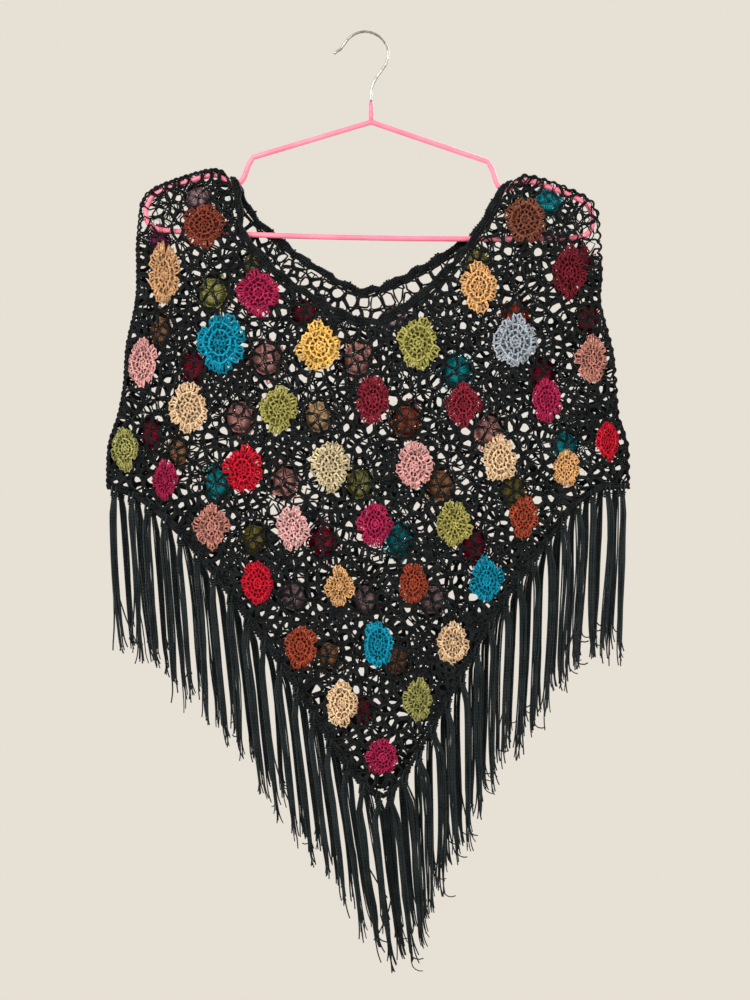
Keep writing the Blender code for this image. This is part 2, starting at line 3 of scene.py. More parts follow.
import bpy
import numpy as np
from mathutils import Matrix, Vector
from mathutils.geometry import delaunay_2d_cdt


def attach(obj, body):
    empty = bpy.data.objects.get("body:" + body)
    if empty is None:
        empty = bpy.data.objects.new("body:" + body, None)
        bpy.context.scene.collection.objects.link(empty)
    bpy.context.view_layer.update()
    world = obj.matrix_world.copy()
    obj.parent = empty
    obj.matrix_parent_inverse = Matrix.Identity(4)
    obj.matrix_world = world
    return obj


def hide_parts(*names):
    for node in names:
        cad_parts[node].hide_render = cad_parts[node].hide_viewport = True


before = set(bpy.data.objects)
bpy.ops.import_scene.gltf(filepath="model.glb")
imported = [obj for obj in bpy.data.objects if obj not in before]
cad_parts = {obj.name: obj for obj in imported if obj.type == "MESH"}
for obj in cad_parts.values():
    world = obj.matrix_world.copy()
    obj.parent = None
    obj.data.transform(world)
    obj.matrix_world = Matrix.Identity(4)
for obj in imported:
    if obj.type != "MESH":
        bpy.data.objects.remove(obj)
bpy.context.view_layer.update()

# The hanger's frame is one loop of steel wire with a notch and a rounded end on each
# arm and a straight bar below, dipped in a soft pink coating that also covers the
# short neck under the hook. Lengths are in millimetres until a mesh is made.
MM = 0.001
UV_SCALE = 10
WIRE_SIDES, YARN_SIDES = 16, 4
FRAME_WIRE = 4.8
NECK_TOP = -61.8
NECK_RADII = (2.1, 2.2, 2.2, 2.15, 1.7)
APEX = np.array([5.4, -79.7])
TILT = math.radians(1.05)
BAR_SAG = 2.7
BAR_POINTS = 19
BEND_STEP = 6.0
FINE_BEND_STEP = 2.0
HALF_FRAME = (
    # out from the apex, down from the apex
    (105.0, 33.6), (109.2, 41.2), (112.8, 51.5), (117.0, 56.8), (123.5, 57.9), (131.6, 53.2),
    (140.5, 50.2), (164.7, 56.8), (189.7, 67.1), (197.8, 75.2), (200.0, 84.1), (198.2, 93.1),
    (192.4, 98.5), (180.0, 101.0),
)


def curve_through(points, step):
    """A Catmull-Rom curve: each cubic span leaves its two inner points along the line
    between their neighbours, and is cut into pieces about one step long."""
    rows = np.array(points, float)
    ends = np.vstack([2 * rows[0] - rows[1], rows, 2 * rows[-1] - rows[-2]])
    line = []
    for before, start, stop, after in zip(ends, ends[1:], ends[2:], ends[3:]):
        count = max(1, round(np.linalg.norm(stop - start) / step))
        t = np.arange(count)[:, None] / count
        line.append(
            0.5 * (2 * start + (stop - before) * t
                   + (2 * before - 5 * start + 4 * stop - after) * t**2
                   + (3 * start - before - 3 * stop + after) * t**3)
        )
    return np.vstack(line + [rows[-1:]])


def on_hanger(points):
    """Points out and down from a level apex, turned by the hanger's tilt and moved to it."""
    turn = np.array([[math.cos(TILT), -math.sin(TILT)], [math.sin(TILT), math.cos(TILT)]])
    return np.asarray(points) @ turn + APEX


def half_frame(hand, step=BEND_STEP):
    """The frame's wire from the apex to the bar, on the left (-1) or the right (+1)."""
    bends = curve_through([(hand * out, -down) for out, down in HALF_FRAME], step)
    return np.vstack([[(0.0, 0.0)], bends])


def sweep(paths, radius, outward, sides=YARN_SIDES, closed=False, flat=1.0):
    """Round bodies along many paths at once.

    Each point of a path gets a ring: the point plus the radius times cos(a) sideways and
    flat * sin(a) up, where sideways is square to the path and to the outward direction,
    and up is square to both. Quads join ring to ring, and the ends are capped.
    Returns the points, the quads, a UV for each corner (turn, distance along the path)
    and the number of its path for each point.
    """
    paths = np.asarray(paths, float)
    many, count = paths.shape[:2]
    ahead = np.gradient(paths, axis=1)
    if closed:
        ahead = np.roll(paths, -1, axis=1) - np.roll(paths, 1, axis=1)
    ahead = ahead / np.maximum(np.linalg.norm(ahead, axis=2, keepdims=True), 1e-9)
    sideways = np.cross(ahead, np.broadcast_to(outward, paths.shape))
    sideways /= np.maximum(np.linalg.norm(sideways, axis=2, keepdims=True), 1e-9)
    up = np.cross(sideways, ahead)
    turn = 2 * math.pi * np.arange(sides) / sides
    ring = (np.cos(turn)[:, None] * sideways[:, :, None]
            + flat * np.sin(turn)[:, None] * up[:, :, None])
    thick = np.broadcast_to(np.asarray(radius, float), (many, count))
    points = (paths[:, :, None] + thick[:, :, None, None] * ring).reshape(-1, 3)

    spans = count if closed else count - 1
    here = np.arange(spans)
    side = np.arange(sides)
    place = (np.arange(many)[:, None, None] * count + here[None, :, None]) * sides
    after = (np.arange(many)[:, None, None] * count + ((here + 1) % count)[None, :, None]) * sides
    wrap = (side + 1) % sides
    quads = np.stack([place + side, after + side, after + wrap, place + wrap], axis=3)
    leap = np.linalg.norm(np.diff(paths, axis=1, append=paths[:, :1]), axis=2)[:, :spans]
    along = np.concatenate([np.zeros((many, 1)), np.cumsum(leap, axis=1)], axis=1)
    uvs = np.empty((*quads.shape, 2))
    uvs[..., 0] = np.stack([side, side, side + 1, side + 1], axis=1) / sides
    uvs[..., [0, 3], 1] = along[:, :-1, None, None]
    uvs[..., [1, 2], 1] = along[:, 1:, None, None]
    quads, uvs = quads.reshape(-1, 4), uvs.reshape(-1, 4, 2)
    if not closed:
        fan = np.array([[0, k, k + 1, k + 2] for k in range(1, sides - 1, 2)])
        first = np.arange(many)[:, None, None] * count * sides
        last = first + (count - 1) * sides
        ends = np.concatenate([(first + fan).reshape(-1, 4), (last + fan[:, ::-1]).reshape(-1, 4)])
        quads = np.concatenate([quads, ends])
        uvs = np.concatenate([uvs, np.zeros((len(ends), 4, 2))])
    return points, quads, uvs, np.repeat(np.arange(many), count * sides)


def joined(parts):
    """Several sweeps as one, their numbering carried on."""
    points, quads, uvs, owners = [], [], [], []
    for part_points, part_quads, part_uvs, part_owners in parts:
        quads.append(part_quads + sum(len(done) for done in points))
        owners.append(part_owners + (owners[-1].max() + 1 if owners else 0))
        points.append(part_points)
        uvs.append(part_uvs)
    return tuple(np.concatenate(rows) for rows in (points, quads, uvs, owners))


def add_piece(name, swept, finish, tint=None):
    """One smooth mesh from a sweep, riding on the part, with its tint as an attribute."""
    points, quads, uvs, owners = swept
    mesh = bpy.data.meshes.new(name)
    mesh.vertices.add(len(points))
    mesh.vertices.foreach_set("co", (points * MM).astype(np.float32).ravel())
    mesh.loops.add(quads.size)
    mesh.loops.foreach_set("vertex_index", quads.astype(np.int32).ravel())
    mesh.polygons.add(len(quads))
    mesh.polygons.foreach_set("loop_start", np.arange(0, quads.size, 4, dtype=np.int32))
    mesh.update(calc_edges=True)
    uv_layer = mesh.uv_layers.new(name="yarn")
    uv_layer.data.foreach_set("uv", (uvs * MM * UV_SCALE).astype(np.float32).ravel())
    if tint is not None:
        colour = np.ones((len(points), 4), np.float32)
        colour[:, :3] = tint[owners]
        tints = mesh.attributes.new("tint", "FLOAT_COLOR", "POINT")
        tints.data.foreach_set("color", colour.ravel())
    mesh.shade_smooth()
    mesh.materials.append(finish)
    piece = bpy.data.objects.new(name, mesh)
    bpy.context.collection.objects.link(piece)
    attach(piece, "root")
    return piece


def new_finish(name, colour, roughness, specular=0.5, metallic=0.0):
    """A Principled surface whose even values sit on its own sockets, and its node tree."""
    finish = bpy.data.materials.new(name)
    finish.use_nodes = True
    tree = finish.node_tree
    shader = tree.nodes["Principled BSDF"]
    shader.inputs["Base Color"].default_value = (*colour, 1.0)
    shader.inputs["Roughness"].default_value = roughness
    shader.inputs["Specular IOR Level"].default_value = specular
    shader.inputs["Metallic"].default_value = metallic
    return finish, tree, shader


def object_noise(tree, scale, detail=2.0):
    """A noise on Object coordinates."""
    place = tree.nodes.new("ShaderNodeTexCoord")
    noise = tree.nodes.new("ShaderNodeTexNoise")
    noise.inputs["Scale"].default_value = scale
    noise.inputs["Detail"].default_value = detail
    tree.links.new(place.outputs["Object"], noise.inputs["Vector"])
    return noise.outputs["Fac"]


def mottle(tree, shader, dark, light, scale):
    """Colour that wanders between two tones with a noise."""
    ramp = tree.nodes.new("ShaderNodeValToRGB")
    ramp.color_ramp.elements[0].position = 0.35
    ramp.color_ramp.elements[1].position = 0.65
    ramp.color_ramp.elements[0].color = (*dark, 1.0)
    ramp.color_ramp.elements[1].color = (*light, 1.0)
    tree.links.new(object_noise(tree, scale, 3.0), ramp.inputs["Fac"])
    tree.links.new(ramp.outputs["Color"], shader.inputs["Base Color"])


def add_bump(tree, shader, height, strength, distance):
    """Relief from a height that another node gives."""
    bump = tree.nodes.new("ShaderNodeBump")
    bump.inputs["Strength"].default_value = strength
    bump.inputs["Distance"].default_value = distance
    tree.links.new(height, bump.inputs["Height"])
    tree.links.new(bump.outputs["Normal"], shader.inputs["Normal"])


coating, tree, shader = new_finish("dipped_pink_coating", (0.87, 0.19, 0.29), 0.38)
mottle(tree, shader, (0.84, 0.165, 0.26), (0.90, 0.225, 0.32), 35.0)
add_bump(tree, shader, object_noise(tree, 260.0), 0.25, 0.0004)

arms = [half_frame(hand, FINE_BEND_STEP) for hand in (-1, 1)]
share = np.linspace(-1, 1, BAR_POINTS)[1:-1]
bar = np.column_stack([share * arms[1][-1, 0], arms[1][-1, 1] - BAR_SAG * (1 - share**2)])
loop = on_hanger(np.vstack([arms[1], bar[::-1], arms[0][:0:-1]]))
loop = np.column_stack([loop[:, 0], np.zeros(len(loop)), loop[:, 1]])
neck = np.array([(APEX[0], 0.0, z) for z in np.linspace(APEX[1], NECK_TOP, len(NECK_RADII))])
towards_viewer = (0.0, -1.0, 0.0)
hanger_wire = add_piece(
    "hanger_wire",
    joined([
        sweep(loop[None], FRAME_WIRE / 2, towards_viewer, WIRE_SIDES, closed=True),
        sweep(neck[None], NECK_RADII, towards_viewer, WIRE_SIDES),
    ]),
    coating,
)
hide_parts("hanger_frame")

# The hook is bare steel wire: a flared tip, a round crook and a shank that curves back
# to the middle and enters the dipped neck.
HOOK_WIRE = 2.3
CROOK_RADIUS = 20.5
CROOK_START, CROOK_END = math.radians(150.0), math.radians(-42.0)
CROOK_POINTS = 49
HOOK_SIDES, TIP_STEP, SHANK_STEP = 12, 1.2, 1.5
HOOK_TIP = ((-27.7, -18.8), (-25.0, -16.4), (-22.4, -15.2))
HOOK_SHANK = ((9.4, -41.6), (6.0, -49.5), (5.3, -58.0), (5.4, -61.5))

steel, tree, shader = new_finish("bare_steel_wire", (0.32, 0.31, 0.29), 0.26, metallic=1.0)
mottle(tree, shader, (0.20, 0.19, 0.18), (0.42, 0.41, 0.39), 400.0)

turn = np.linspace(CROOK_START, CROOK_END, CROOK_POINTS)
crook = np.column_stack(
    [CROOK_RADIUS * np.cos(turn), HOOK_WIRE / 2 - CROOK_RADIUS + CROOK_RADIUS * np.sin(turn)]
)
shank = curve_through([crook[-1], *HOOK_SHANK], SHANK_STEP)[1:]
hook = np.vstack([curve_through(HOOK_TIP, TIP_STEP), crook, shank])
hook = np.column_stack([hook[:, 0], np.zeros(len(hook)), hook[:, 1]])
hook_wire = add_piece(
    "hook_wire", sweep(hook[None], HOOK_WIRE / 2, towards_viewer, HOOK_SIDES), steel
)
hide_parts("hanger_hook")

# The two nets are black acrylic yarn with a faint glint, crocheted into an irregular
# mesh of chains and posts. They hang from the hanger's arms as a front and a back V,
# and the flat chart of each one gives x across and z up before it is hung.
LAYERS = ("back", "front")
SEAM_GAP = 0.3
NET_WALL = 2.0
SHOULDER_COVER = 3.9
CORNER_EASE = 0.9
CORNER_CLEAR = 2.0
ROLL_POWER = 2.5
SLOPE_STEP = 0.5
FAR_ABOVE, FAR_BELOW = (0.0, 200.0), (0.0, -1500.0)
NOTCH_OUT = 123.5
SHOULDER_OUT = 190.0
EDGE_STEP = 13.0
SHOULDER_STEP = 6.5
SIDES = (
    # height, left fold, right fold
    (-190.0, -202.6, 209.4),
    (-218.0, -202.3, 210.2),
    (-242.0, -203.6, 209.0),
    (-282.0, -212.0, 219.5),
    (-313.0, -214.0, 223.2),
    (-343.0, -219.6, 225.5),
    (-366.0, -227.3, 233.2),
    (-388.0, -229.1, 234.5),
    (-408.0, -229.1, 234.5),
)
HOLLOW = (
    # height, half depth inside, width over which each side rolls round
    (-120.0, 5.0, 9.0),
    (-185.0, 6.0, 10.0),
    (-255.0, 8.0, 14.0),
    (-330.0, 10.0, 20.0),
    (-420.0, 10.0, 22.0),
    (-700.0, 7.5, 22.0),
)
FOLD_TOP, FOLD_BOTTOM = -130.0, -420.0
FOLD_GROWTH = 2.5
FOLDS = {
    # x at the shoulder, x at the hem corners, width, height
    "front": (
        (-165.0, -188.0, 26.0, -2.0),
        (-108.0, -130.0, 24.0, 2.2),
        (-30.0, -62.0, 30.0, -1.8),
        (50.0, 62.0, 30.0, 1.8),
        (112.0, 138.0, 24.0, -2.0),
        (165.0, 192.0, 24.0, 2.0),
    ),
    "back": (
        (-150.0, -172.0, 26.0, 2.0),
        (-95.0, -112.0, 26.0, -2.0),
        (-20.0, -30.0, 30.0, 1.8),
        (60.0, 84.0, 28.0, -1.8),
        (140.0, 166.0, 26.0, 2.0),
    ),
}
NECK_CENTRE = {
    "front": (
        (-115.0, -144.0), (-107.0, -183.0), (-67.0, -225.5), (-13.0, -255.0), (11.6, -258.7),
        (58.0, -230.0), (98.0, -185.0), (119.5, -146.0),
    ),
    "back": (
        (-112.0, -146.0), (-98.5, -166.5), (-56.4, -203.0), (-9.0, -229.5), (13.4, -228.5),
        (51.0, -211.0), (98.5, -181.0), (121.0, -146.0),
    ),
}
NECK_WIDTH = {"front": 7.2, "back": 5.8}
NECK_STEP = 4.0
NECK_STATIONS = 61
HEM_TIP_X = 17.0
HEM = {
    "left": (
        (-229.1, -408.0), (-197.0, -422.4), (-154.0, -463.6), (-109.2, -521.8), (-62.6, -588.0),
        (-20.0, -653.4), (3.0, -680.0), (17.0, -684.0),
    ),
    "right": (
        (234.5, -408.0), (209.4, -411.0), (185.3, -428.7), (155.0, -470.0), (119.0, -520.0),
        (74.3, -600.0), (33.1, -670.0), (17.0, -684.0),
    ),
}
BACK_TIP_RISE = 6.0
HEM_STEP = 2.0
HEM_ROW = 4.5
HEM_EASE = 14.0
LOCKS = 17
LOCK_WIDTH = 6.0
LOCK_ENDS = {
    # from the fold to the first lock, from the last lock to the tip
    "front": (6.0, 5.0),
    "back": (10.0, 8.0),
}


def travel(line):
    """How far along the line each of its points is: the running sum of its steps."""
    steps = np.linalg.norm(np.diff(line, axis=0), axis=1)
    return np.concatenate([[0.0], np.cumsum(steps)])


def even_points(line, count):
    """The line read again at evenly spaced distances."""
    along = travel(line)
    places = np.linspace(0.0, along[-1], count)
    return np.column_stack([np.interp(places, along, line[:, axis]) for axis in (0, 1)])


def left_of(line):
    """The unit vector to the left of the line's direction at each point."""
    ahead = np.gradient(line, axis=0)
    ahead /= np.linalg.norm(ahead, axis=1)[:, None]
    return np.column_stack([-ahead[:, 1], ahead[:, 0]])


def inside(points, loop):
    """Which points lie in the closed loop: an odd number of its sides is to their right."""
    x, z = points[:, 0][:, None], points[:, 1][:, None]
    start, stop = loop, np.roll(loop, -1, axis=0)
    spans = (start[:, 1] > z) != (stop[:, 1] > z)
    rise = np.where(stop[:, 1] == start[:, 1], 1.0, stop[:, 1] - start[:, 1])
    crossing = start[:, 0] + (z - start[:, 1]) * (stop[:, 0] - start[:, 0]) / rise
    return (spans & (x < crossing)).sum(axis=1) % 2 == 1


def off_line(points, line):
    """The step to each point from the nearest place on the line: on each of the line's
    pieces the place is the point's shadow, kept between the piece's ends."""
    start, run = line[:-1], np.diff(line, axis=0)
    away = points[:, None] - start
    reach = (away * run).sum(2) / (run**2).sum(1)
    steps = away - np.clip(reach, 0, 1)[..., None] * run
    nearest = np.linalg.norm(steps, axis=2).argmin(axis=1)
    return steps[np.arange(len(points)), nearest]


def distance(points, line):
    """The least distance from each point to the line."""
    return np.linalg.norm(off_line(points, line), axis=1)


def shoulder_fold(hand):
    """The line where the cloth folds over an arm: its wire moved outwards by the cover."""
    wire = half_frame(hand)
    lifted = wire + SHOULDER_COVER * left_of(wire) * hand
    out = hand * wire[:, 0]
    last = int(np.argmax(out))
    first = np.searchsorted(out[:last], NOTCH_OUT - NECK_WIDTH["front"])
    return on_hanger(lifted[first : last + 1])


def side_fold(hand):
    """The whole fold on one side, from the neck over the shoulder and down to the hem."""
    column = 1 if hand < 0 else 2
    down = [(row[column], row[0]) for row in SIDES]
    return np.vstack([shoulder_fold(hand), curve_through(down, EDGE_STEP)])


FOLD_LINES = {"left": side_fold(-1), "right": side_fold(1)}
FOLD_LOOP = np.vstack([FAR_ABOVE, FOLD_LINES["left"], FAR_BELOW, FOLD_LINES["right"][::-1]])


def fold_point(side, out):
    """The point of a side's fold that lies a given way out from the apex, on the shoulder."""
    fold = FOLD_LINES[side]
    outs = np.abs(fold[:, 0] - APEX[0])
    last = int(np.argmax(outs > SHOULDER_OUT))
    return np.array([np.interp(out, outs[:last], fold[:last, axis]) for axis in (0, 1)])


def from_fold(points):
    """The distance in from the nearer side fold, negative outside it."""
    gap = np.minimum(
        distance(points, FOLD_LINES["left"]), distance(points, FOLD_LINES["right"])
    )
    return np.where(inside(points, FOLD_LOOP), gap, -gap)


def fold_height(points, layer):
    """Soft vertical folds: each one a bell across x, whose middle drifts on the way down."""
    fall = (points[:, 1] - FOLD_TOP) / (FOLD_BOTTOM - FOLD_TOP)
    total = np.zeros(len(points))
    for top, bottom, width, height in FOLDS[layer]:
        middle = top + (bottom - top) * fall
        total += height * np.exp(-(((points[:, 0] - middle) / width) ** 2))
    return total * np.clip(fall * FOLD_GROWTH, 0, 1)


def depth_at(points, layer, lowest=None):
    """The inner face's distance from the hanger's plane: with e the way in from the fold as
    a share of the roll, (1 - (1 - e) ** power) times the half depth plus the folds."""
    table = np.array(HOLLOW)[::-1]
    half, roll = (np.interp(points[:, 1], table[:, 0], table[:, i]) for i in (1, 2))
    within = np.clip(from_fold(points) / roll, lowest, 1.0)
    rounded = 1 - (1 - within) ** ROLL_POWER
    return SEAM_GAP / 2 + rounded * (half + fold_height(points, layer))


def hang(chart, layer, proud):
    """Chart points as they hang: the inner face's point plus the outward normal, from the
    slopes of the depth, times how proud each one stands. Returns the points and normals."""
    points = np.asarray(chart, float).reshape(-1, 2)
    slopes = []
    for step in ((SLOPE_STEP, 0.0), (0.0, SLOPE_STEP)):
        rise = depth_at(points + step, layer) - depth_at(points - step, layer)
        slopes.append(rise / (2 * SLOPE_STEP))
    towards = -1.0 if layer == "front" else 1.0
    out = np.column_stack([-slopes[0], np.full(len(points), towards), -slopes[1]])
    out /= np.linalg.norm(out, axis=1)[:, None]
    face = np.column_stack(
        [points[:, 0], towards * depth_at(points, layer, lowest=0.0), points[:, 1]]
    )
    lifted = face + out * np.broadcast_to(proud, chart.shape[:-1]).reshape(-1, 1)
    shape = (*chart.shape[:-1], 3)
    return lifted.reshape(shape), out.reshape(shape)


def neck_line(layer):
    """The neck edging's centre, from the left fold to the right fold."""
    rows = [fold_point("left", NOTCH_OUT), *NECK_CENTRE[layer], fold_point("right", NOTCH_OUT)]
    return even_points(curve_through(rows, NECK_STEP), NECK_STATIONS)


def neck_side(layer, up):
    """A line beside the neck edging's centre, its two ends on the shoulder folds."""
    line = neck_line(layer)
    beside = line + np.broadcast_to(up, len(line))[:, None] * left_of(line)
    beside[0] = fold_point("left", NOTCH_OUT - np.ravel(up)[0])
    beside[-1] = fold_point("right", NOTCH_OUT - np.ravel(up)[-1])
    return beside


def hem_line(layer, side):
    """The hem from the side fold to the tip, finely cut."""
    rows = np.array(HEM[side])
    if layer == "back":
        to_tip = (rows[:, 0] - rows[0, 0]) / (rows[-1, 0] - rows[0, 0])
        rows[:, 1] += BACK_TIP_RISE * to_tip
    return curve_through(rows, HEM_STEP)


def hem_at(layer, side, x, up):
    """The hem's points at the given x, raised square to the hem by up."""
    line = hem_line(layer, side)
    order = np.argsort(line[:, 0])
    line = line[order]
    normal = left_of(line)
    raised = [np.interp(x, line[:, 0], column) for column in (line[:, 1], *normal.T)]
    from_ends = np.minimum(np.abs(x - x[0]), np.abs(x - x[-1]))
    sideways = raised[1] * np.clip(from_ends / HEM_EASE, 0.0, 1.0)
    upwards = np.sqrt(1 - sideways**2)
    return np.column_stack([x + up * sideways, raised[0] + up * upwards])


def lock_places(layer, side):
    """The x of each lock's root, and of both ends of the hem row, from the fold to the tip."""
    fold_x = HEM[side][0][0]
    hand = 1 if fold_x < HEM_TIP_X else -1
    tip_x = HEM_TIP_X - hand * SEAM_GAP / 2
    from_fold_end, from_tip = LOCK_ENDS[layer]
    middles = np.linspace(fold_x + hand * from_fold_end, tip_x - hand * from_tip, LOCKS)
    roots = np.column_stack([middles - hand * LOCK_WIDTH / 2, middles + hand * LOCK_WIDTH / 2])
    return middles, np.concatenate([[fold_x], roots.ravel(), [tip_x]])


def fold_stations(side):
    """The side fold cut into short steps over the shoulder and longer ones down the side."""
    fold = FOLD_LINES[side]
    last = int(np.argmin(np.abs(fold[:, 1] - SIDES[0][0])))
    over, down = fold[: last + 1], fold[last:]
    steps = [round(travel(over)[-1] / SHOULDER_STEP), round(travel(down)[-1] / EDGE_STEP)]
    return np.vstack([even_points(over, steps[0])[:-1], even_points(down, steps[1])])


def panel_outline(layer):
    """The net's outline on the chart, anticlockwise from the neck's left end."""
    below_band = NECK_WIDTH[layer] / 2 + SEAM_GAP
    neck_run = neck_side(layer, -below_band)
    neck_run[0] = fold_point("left", NOTCH_OUT + below_band + CORNER_EASE)
    neck_run[-1] = fold_point("right", NOTCH_OUT + below_band + CORNER_EASE)
    folds, hems = [], []
    for side in ("left", "right"):
        _, stations = lock_places(layer, side)
        hems.append(hem_at(layer, side, stations, HEM_ROW + SEAM_GAP))
        fold = fold_stations(side)
        outside = np.abs(fold[:, 0] - APEX[0]) > NOTCH_OUT + below_band + CORNER_CLEAR
        folds.append(fold[outside & (fold[:, 1] > hems[-1][0, 1] + 2 * CORNER_CLEAR)])
    return np.vstack([folds[0], hems[0], hems[1][::-1], folds[1][::-1], neck_run[::-1]])


# Where the flowers sit, charted in pixels of the photograph, because the net is worked
# round them. The scale turns the chart to millimetres.
PIXEL = 0.895
ZERO_X, ZERO_Y = 365.0, 33.0
FLOWERS = {
    # centre across, centre down, width, height, yarn
    "front": (
        (205, 226, 44, 44, "rust"), (525, 221, 44, 48, "brown"), (165, 275, 30, 62, "tan"),
        (568, 274, 34, 52, "wine"), (259, 294, 44, 46, "magenta"), (478, 288, 38, 48, "apricot"),
        (221, 344, 48, 60, "turquoise"), (320, 348, 46, 50, "yellow"), (144, 364, 28, 50, "pink"),
        (418, 344, 42, 50, "lime"), (515, 343, 44, 54, "mist"), (590, 361, 30, 46, "salmon"),
        (190, 409, 40, 48, "cream"), (278, 410, 40, 46, "lime"), (373, 400, 34, 48, "crimson"),
        (463, 405, 34, 42, "crimson"), (546, 400, 30, 44, "magenta"), (127, 449, 26, 44, "olive"),
        (166, 480, 24, 40, "magenta"), (243, 470, 38, 48, "red"), (330, 467, 38, 50, "straw"),
        (414, 467, 36, 48, "pink"), (499, 460, 36, 46, "cream"), (565, 468, 28, 38, "apricot"),
        (606, 442, 21, 38, "red"), (213, 526, 34, 44, "salmon"), (293, 528, 34, 46, "blush"),
        (375, 524, 34, 44, "magenta"), (454, 524, 34, 46, "lime"), (523, 517, 30, 42, "orange"),
        (258, 583, 34, 46, "red"), (340, 586, 28, 40, "apricot"), (413, 583, 30, 42, "orange"),
        (486, 580, 32, 48, "turquoise"), (301, 646, 34, 46, "orange"),
        (378, 644, 32, 50, "turquoise"), (452, 642, 32, 44, "cream"), (342, 702, 34, 46, "cream"),
        (418, 698, 30, 44, "olive"), (383, 756, 34, 36, "magenta"),
    ),
    "back": (
        (197, 197, 34, 30, "mauve"), (549, 201, 36, 32, "teal"), (158, 241, 24, 38, "plum"),
        (212, 292, 40, 44, "leaf"), (252, 263, 24, 34, "moss"), (304, 312, 34, 32, "berry"),
        (396, 318, 32, 30, "mauve"), (478, 263, 32, 34, "moss"), (582, 262, 26, 46, "crimson"),
        (159, 330, 26, 46, "bronze"), (517, 316, 36, 42, "orange"), (266, 359, 40, 46, "rose"),
        (357, 359, 38, 46, "rose"), (193, 367, 32, 44, "berry"), (457, 371, 38, 44, "teal"),
        (588, 319, 26, 42, "crimson"), (543, 374, 32, 44, "berry"), (239, 417, 38, 46, "rose"),
        (318, 417, 36, 44, "sand"), (406, 421, 38, 46, "copper"), (150, 434, 26, 44, "berry"),
        (177, 452, 24, 40, "bronze"), (489, 430, 36, 44, "rose"), (566, 446, 32, 42, "teal"),
        (216, 484, 34, 44, "teal"), (284, 482, 34, 42, "rose"), (359, 484, 36, 44, "leaf"),
        (440, 485, 36, 44, "bronze"), (514, 491, 34, 42, "moss"), (254, 539, 34, 42, "moss"),
        (323, 542, 34, 44, "berry"), (399, 541, 34, 44, "teal"), (474, 546, 34, 44, "berry"),
        (293, 597, 34, 42, "mauve"), (365, 600, 32, 42, "mauve"), (432, 600, 32, 42, "mauve"),
        (328, 656, 30, 40, "bronze"), (397, 661, 32, 42, "bronze"), (361, 712, 30, 38, "crimson"),
    ),
}
GAPS = 86
GAP_PITCH = 26.5
GAP_JITTER = 4.0
GAP_HALF_WIDTH = (4.0, 6.0)
GAP_EDGE_MARGIN = 10.0
GAP_MOTIF_MARGIN = 8.0
GAP_SEED = {"front": 11, "back": 23}
NET_PITCH = 7.6
NET_STRETCH = (
    # height, how much taller than wide the mesh is pulled
    (-700.0, 1.75),
    (-420.0, 1.45),
    (-250.0, 1.25),
    (-120.0, 1.10),
)
NET_DRIFT = (
    # sideways and upward travel of the mesh, its wavelengths across and down, its start
    (6.0, 3.0, 260.0, 150.0, 0.3),
    (4.0, -2.5, -120.0, 95.0, 2.1),
    (2.5, 2.5, 70.0, -60.0, 4.0),
)
ROW_SHARE = math.sqrt(0.75)
ROW_STEPS = 600
NET_JITTER, TWIN_JITTER = 0.40, 0.5
NET_LOST, NET_SPLIT = 0.03, 0.10
EDGE_SPLIT, EDGE_THICK, EDGE_BAND = 0.85, 0.45, 16.0
SHOULDER_LOW, SHOULDER_HIGH = -215.0, -175.0
LOW_SPLIT, LOW_THICK, LOW_TOP, LOW_BOTTOM = 0.50, 0.16, -340.0, -520.0
PATCH_SPLIT, PATCH_ACROSS, PATCH_DOWN = 0.22, 17.0, 23.0
CORNER_IN, CORNER_OUT, CORNER_LOST, CORNER_THIN = 120.0, 165.0, 0.42, 0.22
WINDOWS, WINDOW_OUT, WINDOW_JITTER, WINDOW_THIN = 6, (0.44, 0.68), 1.5, 0.42
WINDOW_SHARE = 0.95
CLOSEST_SEEDS = 3.2
GAP_REACH = 1.5
NET_SEED = {"front": 5, "back": 6}
YARN_RADIUS = 0.92
LOOP_UNEVEN, POINT_UNEVEN, THREAD_UNEVEN = (0.82, 1.15), (0.9, 1.1), (0.9, 1.25)
LOOP_TILT, LOOP_ROUGH, THREAD_ROUGH, CROSSING_ROUGH = 0.3, 0.15, 0.3, 0.4
LOOP_POINTS = 10
NEIGHBOURS = 13
ROUNDNESS = 9.0
LEAST_LOOP, WIDEST_LOOP, LOOP_SLACK = 0.9, 1.2, (0.96, 1.03)
FARTHEST = 1e-30
WEB_SHARE, LEAST_WEB = 0.9, 0.8
CROSSED, CROSSING_YARN, LONGEST_CROSSING = 0.5, 0.6, 6.0
FLOWER_HOLD = 0.72
MIRROR_REACH = 1.6
EYELET_DEPTH, EYELET_PITCH, EYELET_JITTER = 7.0, 11.5, 2.8
EYELETS_KEPT, EYELET_CLEAR = 0.7, 7.6


def flower_places(layer):
    """Centres and half sizes of a layer's flowers in millimetres."""
    rows = np.array([row[:4] for row in FLOWERS[layer]], float)
    centres = np.column_stack([rows[:, 0] - ZERO_X, ZERO_Y - rows[:, 1]]) * PIXEL
    return centres, rows[:, 2:] * PIXEL / 2


def in_flowers(points, layer, share=1.0, margin=0.0):
    """Which points lie in a flower's ellipse, drawn at a share of its size plus a margin."""
    centres, half = flower_places(layer)
    away = (points[:, None] - centres) / (half * share + margin)
    return ((away**2).sum(axis=2) <= 1).any(axis=1)


def laid(chart, layer, proud, yarn, **form):
    """Yarns along lines of the chart, swept where they hang."""
    paths, outward = hang(chart, layer, proud)
    return sweep(paths, yarn, outward, **form)


def around(outline):
    """The outline with its first point again at its end."""
    return np.vstack([outline, outline[:1]])


